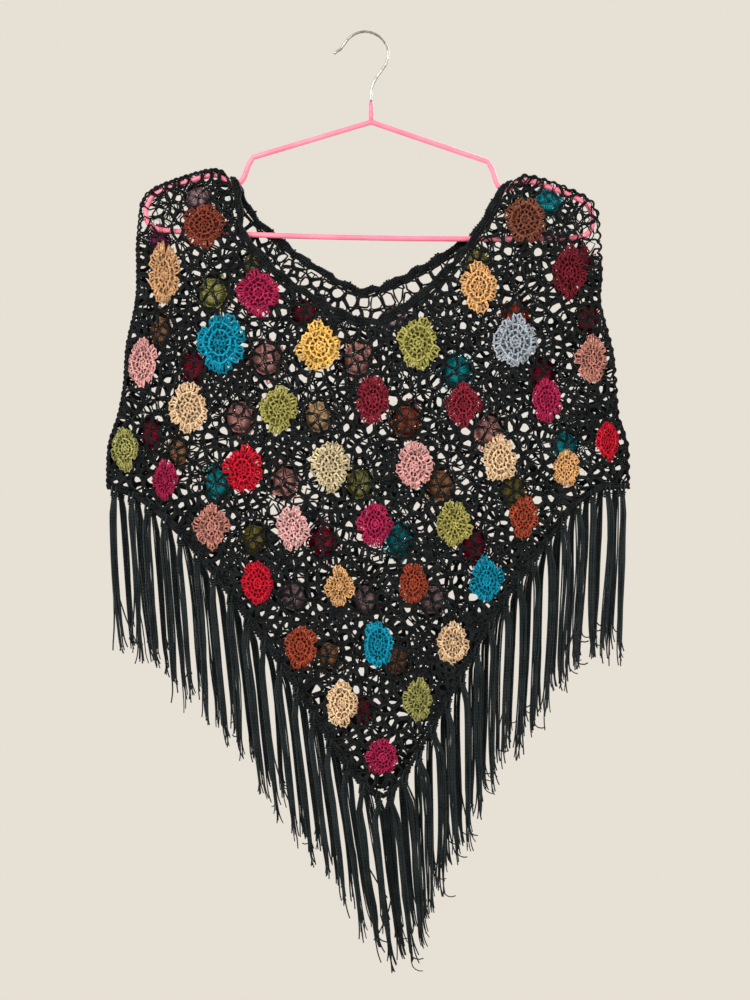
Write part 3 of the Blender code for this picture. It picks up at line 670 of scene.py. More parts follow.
def staggered(outline, pitch):
    """Places on a staggered grid over the outline."""
    low, high = outline.min(axis=0), outline.max(axis=0)
    across = np.arange(low[0], high[0], pitch)
    down = np.arange(low[1], high[1], pitch * ROW_SHARE)
    shift = (np.arange(len(down)) % 2)[:, None] * pitch / 2
    x = across[None, :] + shift
    return np.column_stack([x.ravel(), np.repeat(down, len(across))])


def large_gaps(layer, outline):
    """Centres and half widths of the net's largest gaps: a jittered staggered grid, kept
    clear of flowers and edges, and its widest members picked."""
    rng = np.random.default_rng(GAP_SEED[layer])
    places = staggered(outline, GAP_PITCH)
    places = places + rng.uniform(-GAP_JITTER, GAP_JITTER, places.shape)
    half = rng.uniform(*GAP_HALF_WIDTH, len(places))
    good = inside(places, outline) & (distance(places, around(outline)) > GAP_EDGE_MARGIN)
    good &= ~in_flowers(places, layer, margin=GAP_MOTIF_MARGIN)
    largest = np.flatnonzero(good)[np.argsort(-half[good])[:GAPS]]
    return places[largest], half[largest]


def edge_share(points, layer, outline):
    """How much a place belongs to the dense border: a bell of its distance from the edge,
    without the back's neck edge, that fades out over the shoulders."""
    border = around(outline) if layer == "front" else outline[:-NECK_STATIONS]
    below = np.clip((SHOULDER_HIGH - points[:, 1]) / (SHOULDER_HIGH - SHOULDER_LOW), 0, 1)
    return np.exp(-((distance(points, border) / EDGE_BAND) ** 2)) * below


def corner_share(points):
    """How much a place belongs to a shoulder's outer corner, where the net is stretched
    open: a ramp up the height times a ramp outwards."""
    up = np.clip((points[:, 1] - SHOULDER_LOW) / (SHOULDER_HIGH - SHOULDER_LOW), 0, 1)
    out = (np.abs(points[:, 0] - APEX[0]) - CORNER_IN) / (CORNER_OUT - CORNER_IN)
    return up * np.clip(out, 0, 1)


def low_share(points):
    """How far down a place lies, from none at the middle of the net to all near its point."""
    return np.clip((points[:, 1] - LOW_TOP) / (LOW_BOTTOM - LOW_TOP), 0, 1)


def clear_of(seeds, places, reach):
    """The seeds farther from every place than its reach."""
    apart = np.linalg.norm(seeds[:, None] - places, axis=2)
    return seeds[(apart > reach).all(axis=1)]


def eyelet_seeds(layer, rng):
    """A broken row of eyelets under the neck edge."""
    line = neck_side(layer, -(NECK_WIDTH[layer] / 2 + EYELET_DEPTH))
    eyelets = even_points(line, round(travel(line)[-1] / EYELET_PITCH))[1:-1]
    eyelets = eyelets + rng.uniform(-EYELET_JITTER, EYELET_JITTER, eyelets.shape)
    return eyelets[rng.uniform(0, 1, len(eyelets)) < EYELETS_KEPT]


def window_seeds(rng):
    """A ring of larger holes in the front net before each of the back's flowers."""
    centres, half = flower_places("back")
    turn = 2 * math.pi * np.arange(WINDOWS) / WINDOWS + rng.uniform(0, 6, (len(centres), 1))
    ring = np.stack([np.cos(turn), np.sin(turn)], axis=2)
    ring = ring * rng.uniform(*WINDOW_OUT, (*turn.shape, 1))
    windows = (centres[:, None] + ring * half[:, None]).reshape(-1, 2)
    return windows + rng.uniform(-WINDOW_JITTER, WINDOW_JITTER, windows.shape)


def hole_seeds(layer, outline, rng):
    """One seed in the middle of each hole of the net: staggered rows whose spacing follows
    the stretch, jittered, with some lost, and more of them split in two low down, in slow
    patches and towards the edges. A large one lies at each wide gap, a ring of larger
    ones before each of the back's flowers, and a broken row of eyelets under the back's
    neck edge."""
    low, high = outline.min(axis=0) - 2 * NET_PITCH, outline.max(axis=0) + 2 * NET_PITCH
    fall = np.linspace(high[1], low[1], ROW_STEPS)
    spacing = NET_PITCH * ROW_SHARE * np.interp(fall, *np.array(NET_STRETCH).T)
    passed = np.concatenate([[0.0], np.cumsum(-np.diff(fall) / spacing[1:])])
    rows = np.interp(np.arange(int(passed[-1])), passed, fall)
    across = np.arange(low[0], high[0], NET_PITCH)
    x = across[None, :] + (np.arange(len(rows)) % 2)[:, None] * NET_PITCH / 2
    seeds = np.column_stack([x.ravel(), np.repeat(rows, len(across))])
    jitter = rng.uniform(-NET_JITTER, NET_JITTER, seeds.shape) * NET_PITCH
    jitter[:, 1] *= np.interp(seeds[:, 1], *np.array(NET_STRETCH).T)
    seeds = seeds + jitter
    for aside, up, across, down, start in NET_DRIFT:
        wave = np.sin(2 * math.pi * (seeds[:, :1] / across + seeds[:, 1:] / down) + start)
        seeds = seeds + wave * np.array([aside, up])
    near_edge = edge_share(seeds, layer, outline)
    low_down = low_share(seeds)
    patches = np.sin(seeds[:, 0] / PATCH_ACROSS) * np.sin(seeds[:, 1] / PATCH_DOWN)
    split = NET_SPLIT + EDGE_SPLIT * near_edge + LOW_SPLIT * low_down + PATCH_SPLIT * patches
    fate = rng.uniform(0, 1, len(seeds))
    twins = seeds[fate < split]
    twins = twins + rng.uniform(-TWIN_JITTER, TWIN_JITTER, twins.shape) * NET_PITCH
    seeds = np.vstack([seeds[fate < 1 - NET_LOST - CORNER_LOST * corner_share(seeds)], twins])
    gaps, half = large_gaps(layer, outline)
    seeds = clear_of(seeds, gaps, GAP_REACH * half + YARN_RADIUS)
    if layer == "back":
        eyelets = eyelet_seeds(layer, rng)
        seeds = np.vstack([eyelets, clear_of(seeds, eyelets, EYELET_CLEAR)])
    else:
        seeds = np.vstack([window_seeds(rng), seeds[~in_flowers(seeds, "back", WINDOW_SHARE)]])
    seeds = np.vstack([gaps, seeds])
    off_edge = distance(seeds, around(outline))
    seeds = seeds[inside(seeds, outline) & (off_edge > CLOSEST_SEEDS / 2)]
    seeds = seeds[~in_flowers(seeds, layer, FLOWER_HOLD, CLOSEST_SEEDS / 2)]
    apart = np.linalg.norm(seeds[:, None] - seeds, axis=2)
    crowded = np.tril(apart < CLOSEST_SEEDS, -1).any(axis=1)
    return seeds[~crowded]


def mirrored(seeds, layer, outline):
    """The seeds near an edge again on its other side, so that the holes end at the edge:
    across the outline by twice the step from it, and across a flower's ellipse at two
    less its own reach."""
    steps = off_line(seeds, around(outline))
    near = np.linalg.norm(steps, axis=1) < MIRROR_REACH * NET_PITCH
    centres, half = flower_places(layer)
    held = half * FLOWER_HOLD
    away = (seeds[:, None] - centres) / held
    reach = np.linalg.norm(away, axis=2)
    beside = (reach - 1) * held.mean(axis=1) < MIRROR_REACH * NET_PITCH
    folded = centres + held * away * (2 / reach - 1)[..., None]
    return np.vstack([seeds[near] - 2 * steps[near], folded[beside]])


def hole_loops(seeds, every, rng):
    """The yarn round each hole. In a direction the border with one neighbour lies at half
    the way to it, less the yarn, over the cosine of the angle between. The loop follows
    the least of these, rounded: the sum of their powers, to one over minus the power."""
    steps = every[None] - seeds[:, None]
    apart = np.linalg.norm(steps, axis=2)
    nearest = np.argpartition(apart, NEIGHBOURS, axis=1)[:, : NEIGHBOURS + 1]
    apart = np.take_along_axis(apart, nearest, 1)
    steps = np.take_along_axis(steps, nearest[..., None], 1)
    turn = rng.uniform(0, 1, (len(seeds), 1)) + np.arange(LOOP_POINTS) / LOOP_POINTS
    direction = np.stack([np.cos(2 * math.pi * turn), np.sin(2 * math.pi * turn)], axis=2)
    cosine = np.einsum("sna,sta->snt", steps, direction) / np.maximum(apart, 1e-6)[..., None]
    border = np.maximum(apart / 2 - YARN_RADIUS, LEAST_LOOP)
    inverse = np.where(apart > 1e-3, 1 / border, 0.0)[..., None] * np.clip(cosine, 0, 1)
    total = np.maximum((inverse**ROUNDNESS).sum(axis=1), FARTHEST)
    reach = np.minimum(total ** (-1 / ROUNDNESS), WIDEST_LOOP * NET_PITCH)
    reach = reach * rng.uniform(*LOOP_SLACK, reach.shape)
    return seeds[:, None] + reach[..., None] * direction


def web_ends(every, own, rng):
    """The ends of the thread between two holes: each triangle of neighbouring seeds gives
    the middle of the circle through its corners, and the middles of two triangles with a
    common side are joined. Only borders of the first, own, seeds count."""
    _, _, faces, _, _, _ = delaunay_2d_cdt([Vector(seed) for seed in every], [], [], 0, 1e-5)
    faces = np.array(faces)
    a, b, c = (every[faces[:, k]] for k in range(3))
    ab, ac = b - a, c - a
    area = 2 * (ab[:, 0] * ac[:, 1] - ab[:, 1] * ac[:, 0])
    ab2, ac2 = (ab**2).sum(1), (ac**2).sum(1)
    middle = a + np.column_stack(
        [(ac[:, 1] * ab2 - ab[:, 1] * ac2) / area, (ab[:, 0] * ac2 - ac[:, 0] * ab2) / area]
    )
    sides = np.sort(np.concatenate([faces[:, [0, 1]], faces[:, [1, 2]], faces[:, [2, 0]]]), axis=1)
    owner = np.tile(np.arange(len(faces)), 3)
    order = np.lexsort((sides[:, 1], sides[:, 0]))
    sides, owner = sides[order], owner[order]
    same = np.flatnonzero((sides[1:] == sides[:-1]).all(axis=1) & (sides[1:, 0] < own))
    ends = np.stack([middle[owner[same]], middle[owner[same + 1]]], axis=1)
    length = np.linalg.norm(ends[:, 0] - ends[:, 1], axis=1)
    chosen = (length > LEAST_WEB) & (length < 2 * NET_PITCH)
    return ends[chosen & (rng.uniform(0, 1, len(ends)) < WEB_SHARE)]


def thickness_share(points, layer, outline):
    """How thick the yarn is against the usual: more in the dense border and low down, less
    where the front net is worked openly before a flower of the back."""
    close = EDGE_THICK * edge_share(points, layer, outline) + LOW_THICK * low_share(points)
    thin = WINDOW_THIN * in_flowers(points, "back", WINDOW_SHARE) * (layer == "front")
    return (1 + close - thin - CORNER_THIN * corner_share(points))[:, None]


def kept_in(paths, outline):
    """Paths whose points outside the outline are moved to their nearest place on it."""
    points = paths.reshape(-1, 2)
    outside = ~inside(points, outline)
    points[outside] -= off_line(points[outside], around(outline))
    return points.reshape(paths.shape)


def net(layer, finish):
    """The net: a loop of yarn round each hole, side by side with its neighbours' loops,
    threads between them that fill the knots where three holes meet, and thinner ones
    straight across some of the smaller holes."""
    outline = panel_outline(layer)
    rng = np.random.default_rng(NET_SEED[layer])
    seeds = hole_seeds(layer, outline, rng)
    every = np.vstack([seeds, mirrored(seeds, layer, outline)])
    loops = kept_in(hole_loops(seeds, every, rng), outline)
    turn = 2 * math.pi * np.arange(LOOP_POINTS) / LOOP_POINTS
    tilt = rng.uniform(0, 2 * math.pi, (len(loops), 1)) + turn
    proud = NET_WALL / 2 + LOOP_TILT * np.cos(tilt) + rng.uniform(-LOOP_ROUGH, LOOP_ROUGH, tilt.shape)
    thick = YARN_RADIUS * rng.uniform(*LOOP_UNEVEN, (len(loops), 1))
    thick = thick * rng.uniform(*POINT_UNEVEN, tilt.shape)
    thick = thick * thickness_share(seeds, layer, outline)
    round_holes = laid(loops, layer, proud, thick, closed=True)
    ends = kept_in(web_ends(every, len(seeds), rng), outline)
    proud = NET_WALL / 2 + rng.uniform(-THREAD_ROUGH, THREAD_ROUGH, ends.shape[:2])
    thick = YARN_RADIUS * rng.uniform(*THREAD_UNEVEN, (len(ends), 1))
    thick = thick * thickness_share(ends[:, 0], layer, outline)
    threads = laid(ends, layer, proud, thick)
    crossed = loops[rng.uniform(0, 1, len(loops)) < CROSSED][:, [0, LOOP_POINTS // 2]]
    length = np.linalg.norm(crossed[:, 0] - crossed[:, 1], axis=1)
    crossed = crossed[length < LONGEST_CROSSING]
    proud = NET_WALL / 2 + rng.uniform(-CROSSING_ROUGH, CROSSING_ROUGH, crossed.shape[:2])
    crossings = laid(crossed, layer, proud, CROSSING_YARN)
    swept = joined([round_holes, threads, crossings])
    made = add_piece(f"{layer}_net", swept, finish)
    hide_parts(f"{layer}_panel")
    return made, outline


def twist(tree, pitch, strength):
    """The height of plied yarn: a sine of the distance along it plus its turn, on the UVs."""
    uv = tree.nodes.new("ShaderNodeUVMap")
    uv.uv_map = "yarn"
    mapping = tree.nodes.new("ShaderNodeMapping")
    mapping.inputs["Scale"].default_value = (100.0, 100.0 / pitch, 1.0)
    wave = tree.nodes.new("ShaderNodeTexWave")
    wave.bands_direction = "DIAGONAL"
    wave.inputs["Scale"].default_value = 0.5
    wave.inputs["Distortion"].default_value = 0.6
    tree.links.new(uv.outputs["UV"], mapping.inputs["Vector"])
    tree.links.new(mapping.outputs["Vector"], wave.inputs["Vector"])
    add_bump(tree, tree.nodes["Principled BSDF"], wave.outputs["Fac"], strength, 0.0004)


black_yarn, tree, shader = new_finish("black_acrylic_yarn", (0.005, 0.006, 0.007), 0.5, 0.09)
shader.inputs["Sheen Weight"].default_value = 0.02
shader.inputs["Sheen Roughness"].default_value = 0.4
shader.inputs["Sheen Tint"].default_value = (0.55, 0.75, 0.75, 1.0)
mottle(tree, shader, (0.002, 0.0025, 0.003), (0.008, 0.010, 0.011), 120.0)
twist(tree, 1.6, 0.5)

nets, outlines = {}, {}
for layer in LAYERS:
    nets[layer], outlines[layer] = net(layer, black_yarn)

# Each flower is crocheted in the round from one coloured yarn: a centre ring, three more
# rings joined by posts, and eight petals, each a fan of posts with a picot rim. Painted
# shade: dark discs below the rounds fill their gaps. The flowers are worked into the net
# and stand proud of it.
# The back's mauve, teal and bronze are lighter than their yarn: painted light for what the front net
# keeps from those flowers.
PALETTE = {
    "rust": (124, 60, 46), "brown": (118, 70, 54), "tan": (194, 150, 108), "wine": (106, 30, 40),
    "magenta": (162, 36, 76), "apricot": (212, 162, 108), "turquoise": (16, 134, 162),
    "yellow": (228, 182, 96), "pink": (216, 158, 155), "lime": (164, 158, 86),
    "mist": (153, 162, 172), "salmon": (190, 128, 115), "cream": (217, 184, 146),
    "crimson": (130, 38, 52), "olive": (152, 150, 88), "red": (192, 28, 48),
    "straw": (214, 197, 158), "blush": (228, 174, 172), "orange": (148, 66, 46),
    "mauve": (178, 146, 152), "teal": (26, 160, 172), "plum": (132, 44, 96),
    "moss": (142, 130, 64), "rose": (230, 164, 156), "bronze": (184, 132, 94),
    "sand": (228, 188, 140), "berry": (144, 34, 58), "leaf": (178, 176, 104),
    "copper": (158, 80, 60),
}
PETALS = 8
POSTS = 4
PETAL_LENGTH = (0.88, 1.10)
PETAL_LEAN = 0.020
PETAL_FROM, PETAL_EASE = 0.35, 0.4
LOBE_IN, LOBE_OUT, LOBE_POWER = 0.64, 0.31, 0.25
POST_FROM, POST_TO, POST_WAY = 0.67, 0.97, (0.0, 0.5, 1.0)
POST_SPREAD, POST_FAN = 0.33, (0.8, 1.0, 1.0)
RIM_POINTS, RIM_YARN, PETAL_LOOSE = 13, 0.85, 0.02
GROUND_POINTS = 18
SQUARENESS = 0.07
RING_UNEVEN, YARN_STRAY, LEAST_REACH, YARN_ROUGH = 0.06, 0.3, 0.2, 0.2
PICOT, PICOT_DIP, PICOT_EVERY, FIRST_PICOT = 0.06, -0.3, 4, 2
MEAN_FLOWER = 17.0
FLOWER_YARN = 0.88
# Each stitch's tone is drawn from these ranges: a random spread that also paints small highlights and
# shade, lifted in the back's flowers as painted light for what the front net keeps from them.
STITCH_TONES_AND_PAINTED_LIGHT = {"front": (0.62, 1.20), "back": (1.0, 1.45)}
CHAINS = (
    # way out as a share of the radius, stitches, how far they sway, thickness
    (0.08, 4, 0.0, 1.1),
    (0.23, 8, 0.015, 1.05),
    (0.43, 12, 0.02, 1.05),
    (0.66, 16, 0.02, 1.0),
)
STITCHES = (
    # from and to as shares of the radius, how many, slant in turns, thickness, height, spread
    (0.10, 0.21, 6, 0.020, 0.85, 0.0, 0.02),
    (0.26, 0.41, 10, 0.012, 0.80, 0.0, 0.02),
    (0.46, 0.64, 16, -0.006, 0.78, 0.1, 0.02),
)
# Discs of the flower's yarn below the rounds. The first and third are dark in the front's flowers,
# painted shade in the gaps; in the back's flowers they are lightened, painted light for what the
# front net keeps from them. The second, deepest, colours the flower's back side.
GROUNDS_WITH_PAINTED_LIGHT = (
    # middle and half width as shares of the radius, flatness, depth below the yarn, and
    # the shade in the front's flowers and in the back's: painted shade in the front's gaps
    # and painted light on the back's
    (0.30, 0.26, 0.10, 1.5, 0.12, 0.60),
    (0.32, 0.30, 0.08, 2.4, 0.85, 0.85),
    (0.58, 0.12, 0.08, 0.7, 0.24, 1.10),
)
FLOWER_HEIGHT = (
    # way out from the centre as a share of the radius, height of the yarn's middle
    (0.0, 2.6),
    (0.30, 3.2),
    (0.55, 3.6),
    (0.80, 3.0),
    (1.05, 1.9),
)
FLOWER_SEED = {"front": 31, "back": 47}


def linear(colour):
    """Screen values from 0 to 255 as the light they stand for."""
    part = np.array(colour, float) / 255
    return np.where(part <= 0.04045, part / 12.92, ((part + 0.055) / 1.055) ** 2.4)


def flower_round(out, turns, layer, rng, thick, closed=False, flat=1.0, sink=0.0, loose=0.03):
    """The same yarn paths in every flower of a layer. out and turns give a path's points as
    shares of the radius and of a full turn. Each flower turns the lot, stretches it to its
    own ellipse, pulls it a little square, and makes each petal longer or shorter, askew."""
    centres, half = flower_places(layer)
    own = np.random.default_rng(FLOWER_SEED[layer])
    flowers, paths = len(centres), len(out)
    spin = own.uniform(0, 1, (flowers, 1, 1))
    petal = np.floor(turns.mean(axis=1) * PETALS + 0.5).astype(int) % PETALS
    length = own.uniform(*PETAL_LENGTH, (flowers, PETALS))[:, petal, None]
    lean = own.uniform(-PETAL_LEAN, PETAL_LEAN, (flowers, PETALS))[:, petal, None]
    square = own.uniform(0, SQUARENESS, (flowers, 1, 1))
    ease = np.clip((out - PETAL_FROM) / PETAL_EASE, 0, 1)
    reach = out * (1 + (length - 1) * ease) + rng.uniform(-loose, loose, (flowers, *out.shape))
    if closed:
        reach = out * (1 + rng.uniform(-RING_UNEVEN, RING_UNEVEN, (flowers, *out.shape)))
    stray = rng.uniform(-YARN_STRAY, YARN_STRAY, reach.shape) * loose / np.maximum(reach, LEAST_REACH)
    angle = 2 * math.pi * (turns + spin + lean * ease + stray)
    reach = reach * (1 + square * np.cos(4 * angle))
    chart = np.stack([reach * np.cos(angle), reach * np.sin(angle)], axis=3)
    chart = centres[:, None, None] + chart * half[:, None, None]
    proud = np.interp(reach, *np.array(FLOWER_HEIGHT).T) - sink
    proud = proud + rng.uniform(-YARN_ROUGH, YARN_ROUGH, proud.shape)
    size = half.mean(axis=1) / MEAN_FLOWER
    thick = np.broadcast_to((thick * size)[:, None, None], (flowers, paths, out.shape[1]))
    shape = (flowers * paths, out.shape[1])
    return laid(
        chart.reshape(*shape, 2), layer, proud.reshape(shape), thick.reshape(shape),
        closed=closed, flat=flat,
    )


def lobe(across):
    """A blunt petal's edge: the fourth root of a cosine, flat over most of the petal and
    steep towards the gap between two."""
    return LOBE_IN + LOBE_OUT * np.clip(np.cos(math.pi * across), 0, 1) ** LOBE_POWER


def flowers(layer, finish):
    """All the flowers of a layer as one piece, round by round."""
    rng = np.random.default_rng(FLOWER_SEED[layer] + 1)
    petal = np.arange(PETALS) / PETALS
    rounds = []
    for middle, stitches, sway, thick in CHAINS:
        turns = np.arange(2 * stitches)[None] / (2 * stitches)
        out = middle + sway * np.where(np.arange(2 * stitches) % 2 == 0, 1.0, -1.0)[None]
        rounds.append(flower_round(out, turns, layer, rng, thick * FLOWER_YARN, True))
    for low, high, many, slant, thick, height, spread in STITCHES:
        out = np.broadcast_to([low, high], (many, 2))
        turns = (np.arange(many) / many)[:, None] + np.array([[0.0, slant]])
        rounds.append(
            flower_round(out, turns, layer, rng, thick * FLOWER_YARN, sink=-height, loose=spread)
        )
    across = np.tile(np.linspace(-POST_SPREAD, POST_SPREAD, POSTS), PETALS)
    out = POST_FROM + (POST_TO * lobe(across) - POST_FROM)[:, None] * np.array([POST_WAY])
    turns = np.repeat(petal, POSTS)[:, None] + across[:, None] / PETALS * np.array([POST_FAN])
    rounds.append(flower_round(out, turns, layer, rng, FLOWER_YARN, loose=PETAL_LOOSE))
    across = np.linspace(-0.5, 0.5, RIM_POINTS)
    raised = np.arange(RIM_POINTS) % PICOT_EVERY == FIRST_PICOT
    picots = PICOT * np.where(raised, 1.0, PICOT_DIP)
    out = np.broadcast_to(lobe(across) + picots, (PETALS, RIM_POINTS))
    turns = petal[:, None] + across / PETALS
    rounds.append(flower_round(out, turns, layer, rng, RIM_YARN * FLOWER_YARN, loose=PETAL_LOOSE))
    turns = np.arange(GROUND_POINTS)[None] / GROUND_POINTS
    for middle, wide, flat, sink, _, _ in GROUNDS_WITH_PAINTED_LIGHT:
        out = np.full((1, GROUND_POINTS), middle)
        rounds.append(flower_round(out, turns, layer, rng, wide * MEAN_FLOWER, True, flat, sink))
    # Each path's tint is its yarn times a random stitch tone, or a ground's listed shade: painted
    # shade in the front's gaps and painted light on the back's flowers.
    tints = []
    base = np.array([linear(PALETTE[row[4]]) for row in FLOWERS[layer]])
    for number, swept in enumerate(rounds):
        paths = swept[3].max() + 1
        each = np.repeat(base, paths // len(base), axis=0)
        ground = number - (len(rounds) - len(GROUNDS_WITH_PAINTED_LIGHT))
        shade = rng.uniform(*STITCH_TONES_AND_PAINTED_LIGHT[layer], (paths, 1))
        if ground >= 0:
            shade = GROUNDS_WITH_PAINTED_LIGHT[ground][-2 if layer == "front" else -1]
        tints.append(each * shade)
    return add_piece(f"{layer}_flowers", joined(rounds), finish, np.concatenate(tints))


def tint_of(tree):
    """The colour that each yarn carries in its tint attribute."""
    tint = tree.nodes.new("ShaderNodeAttribute")
    tint.attribute_name = "tint"
    return tint.outputs["Color"]


flower_yarn, tree, shader = new_finish("flower_yarn", (0.6, 0.2, 0.2), 0.85, 0.06)
# A noise scales each yarn's tint between 0.42 and 1.28 times: a random tone that also paints small
# highlights and shade over the stitches.
strength = tree.nodes.new("ShaderNodeMapRange")
strength.inputs["From Min"].default_value = 0.3
strength.inputs["From Max"].default_value = 0.7
strength.inputs["To Min"].default_value = 0.42
strength.inputs["To Max"].default_value = 1.28
tint_and_painted_speckle = tree.nodes.new("ShaderNodeVectorMath")
tint_and_painted_speckle.operation = "SCALE"
tree.links.new(object_noise(tree, 540.0), strength.inputs["Value"])
tree.links.new(tint_of(tree), tint_and_painted_speckle.inputs[0])
tree.links.new(strength.outputs["Result"], tint_and_painted_speckle.inputs["Scale"])
tree.links.new(tint_and_painted_speckle.outputs["Vector"], shader.inputs["Base Color"])
twist(tree, 1.3, 0.6)

flower_pieces = {layer: flowers(layer, flower_yarn) for layer in LAYERS}

# The neck edges are dense bands of single crochet: yarn wound round and round a core,
# plain on the lower front edge and scalloped along the opening on the higher back edge.
NECK_SCALLOP = {"front": 1.6, "back": 2.8}
SCALLOP_PITCH = 22.0
EDGING_WALL = 3.0
WIND_PITCH = 2.7
WIND_POINTS = 10
WIND_WOBBLE, WIND_ROUGH = 0.14, 0.25
BAND_YARN, BAND_DEEP = 1.1, 0.75
BAND_FINER = {"front": 0.8, "back": 1.0}
BAND_RAGGED = {"front": 1.7, "back": 1.0}
CORES, CORE_YARN = (0.12, 0.5, 0.88), 1.25


def wound(layer, low, high, deep, yarn, rng):
    """Yarn wound as a flat helix between two lines of the chart: across the band it follows
    the cosine of the winding angle, and through the cloth its sine."""
    centre = (low + high) / 2
    turns = travel(centre)[-1] / WIND_PITCH
    angle = np.linspace(0, 2 * math.pi * turns, int(turns * WIND_POINTS))
    where = np.linspace(0, len(centre) - 1, len(angle))
    spread = 0.5 + 0.5 * np.cos(angle) + rng.normal(0, WIND_WOBBLE, len(angle))
    station = np.arange(len(centre))
    lower, upper = (
        np.column_stack([np.interp(where, station, line[:, axis]) for axis in (0, 1)])
        for line in (low, high)
    )
    chart = lower + (upper - lower) * spread[:, None]
    proud = EDGING_WALL / 2 + deep * np.sin(angle) + rng.normal(0, WIND_ROUGH, len(angle))
    return laid(chart[None], layer, proud, yarn)


def neck_band(layer, finish):
    """A neck edge: the winding between the band's two sides, on a core of three strands."""
    rng = np.random.default_rng(NECK_STATIONS)
    along = travel(neck_line(layer))
    swell = NECK_SCALLOP[layer] * np.abs(np.sin(math.pi * along / SCALLOP_PITCH))
    half = NECK_WIDTH[layer] / 2 - BAND_YARN
    ragged = rng.uniform(-1, 1, (2, len(along))) * BAND_RAGGED[layer]
    low, high = neck_side(layer, ragged[0] - half), neck_side(layer, half + swell + ragged[1])
    parts = [wound(layer, low, high, BAND_DEEP, BAND_YARN * BAND_FINER[layer], rng)]
    for share in CORES:
        core = low + (high - low) * share
        parts.append(laid(core[None], layer, EDGING_WALL / 2, CORE_YARN))
    made = add_piece(f"{layer}_neck_band", joined(parts), finish)
    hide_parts(f"{layer}_neck_edge")
    return made


neck_bands = {layer: neck_band(layer, black_yarn) for layer in LAYERS}

# The hem and the side folds are finished with a close crocheted row. Bundles of cut yarn
# are knotted into the hem row with a double loop, and hang in a long fringe whose ends
# part, fray and curl.
LEAN = (
    # x at the hem, sideways travel for each unit of length
    (-230.0, 0.06),
    (-110.0, 0.11),
    (0.0, 0.14),
    (60.0, 0.03),
    (130.0, -0.04),
    (235.0, -0.03),
)
LOCK_LENGTH, LOCK_SPREAD = 151.0, 9.0
LOCK_SEED = {"front": {"left": 54, "right": 55}, "back": {"left": 44, "right": 45}}
STRANDS = 10
STRAND_DOWN = (
    # the places of a strand's points, close together below the knot and in the curled tip
    0.0, 0.03, 0.08, 0.13, 0.19, 0.28, 0.40, 0.53, 0.66, 0.77, 0.85, 0.91, 0.935, 0.957, 0.98, 1.0
)
TIP, TIP_BEND, LEAST_BEND, HOOK_BEND = 0.91, 0.14, 0.05, (1.2, 2.6)
HOOKED = {"left": 0.02, "right": 0.05}
BENT_RIGHT = {"left": 0.55, "right": 0.8}
BUNDLE_WIDTH = {"left": (0.65, 1.20), "right": (0.85, 1.35)}
BUNDLE_HALF, BUNDLE_ROW, ACROSS_ROUGH, THROUGH_ROUGH = 2.7, 0.75, 0.25, 0.2
BUNDLE_FORM = (
    # way down a strand, the bundle's width as a share
    (0.0, 0.7), (0.03, 0.65), (0.12, 1.0), (0.6, 0.95), (0.85, 0.75), (1.0, 0.7),
)
LEAST_STRAND, STRAND_SPREAD, LONG_SHARE, LONG_STRAND = 0.80, 0.20, 0.06, 1.07
STRAND_RADIUS, STRAND_UNEVEN = 0.70, (0.8, 1.15)
STRAND_FORM = ((0.0, 1.0), (0.8, 1.0), (1.0, 0.75))
SWAY, SWAY_WAVES, RIPPLE, RIPPLE_WAVES = 1.3, (0.8, 1.6), 0.35, (1.0, 2.5)
TAIL_FROM, TAIL, CURL, DRIFT = 0.8, 0.2, 1.3, {"left": 0.4, "right": 0.9}
TAIL_ROUGH, CURL_LIFT = 0.9, 0.4
STRAY, STRAY_REACH, STRAY_FROM, STRAY_TAIL, STRAY_POWER = 7, 9.0, 0.6, 0.4, 1.5
PARTED, PARTED_BY = 6.9, 0.16
BELOW_ROW = 1.0
KNOT_POINTS = 10
KNOT_RINGS = (
    # middle across and up, half size across, through and up, yarn, direction square to it
    (-1.7, 0.6, 0.5, 2.5, 4.4, 0.95, (1.0, 0.0, 0.0)),
    (1.7, 0.6, 0.5, 2.5, 4.4, 0.95, (1.0, 0.0, 0.0)),
    (0.0, -3.4, 3.0, 1.9, 0.5, 0.9, (0.0, 0.0, 1.0)),
    (0.0, -5.4, 2.7, 1.9, 0.5, 0.9, (0.0, 0.0, 1.0)),
)
HEM_STATIONS = 120
HEM_LOW, HEM_HIGH, HEM_DEEP, HEM_YARN, HEM_CORE = 0.9, HEM_ROW - 0.4, 0.8, 1.15, 1.5
CHAIN_STEP, CHAIN_IN, CHAIN_SWAY, CHAIN_HEIGHT, CHAIN_RISE = 1.4, 2.0, 3.2, 1.1, 0.4
FOLD_SCALLOP, BEAT_DRIFT, BEAT_LENGTH = 9.5, 0.2, 31.0
FOLD_CHAINS = (
    # how much deeper in, yarn
    (0.0, 1.0),
    (0.9, 0.8),
)


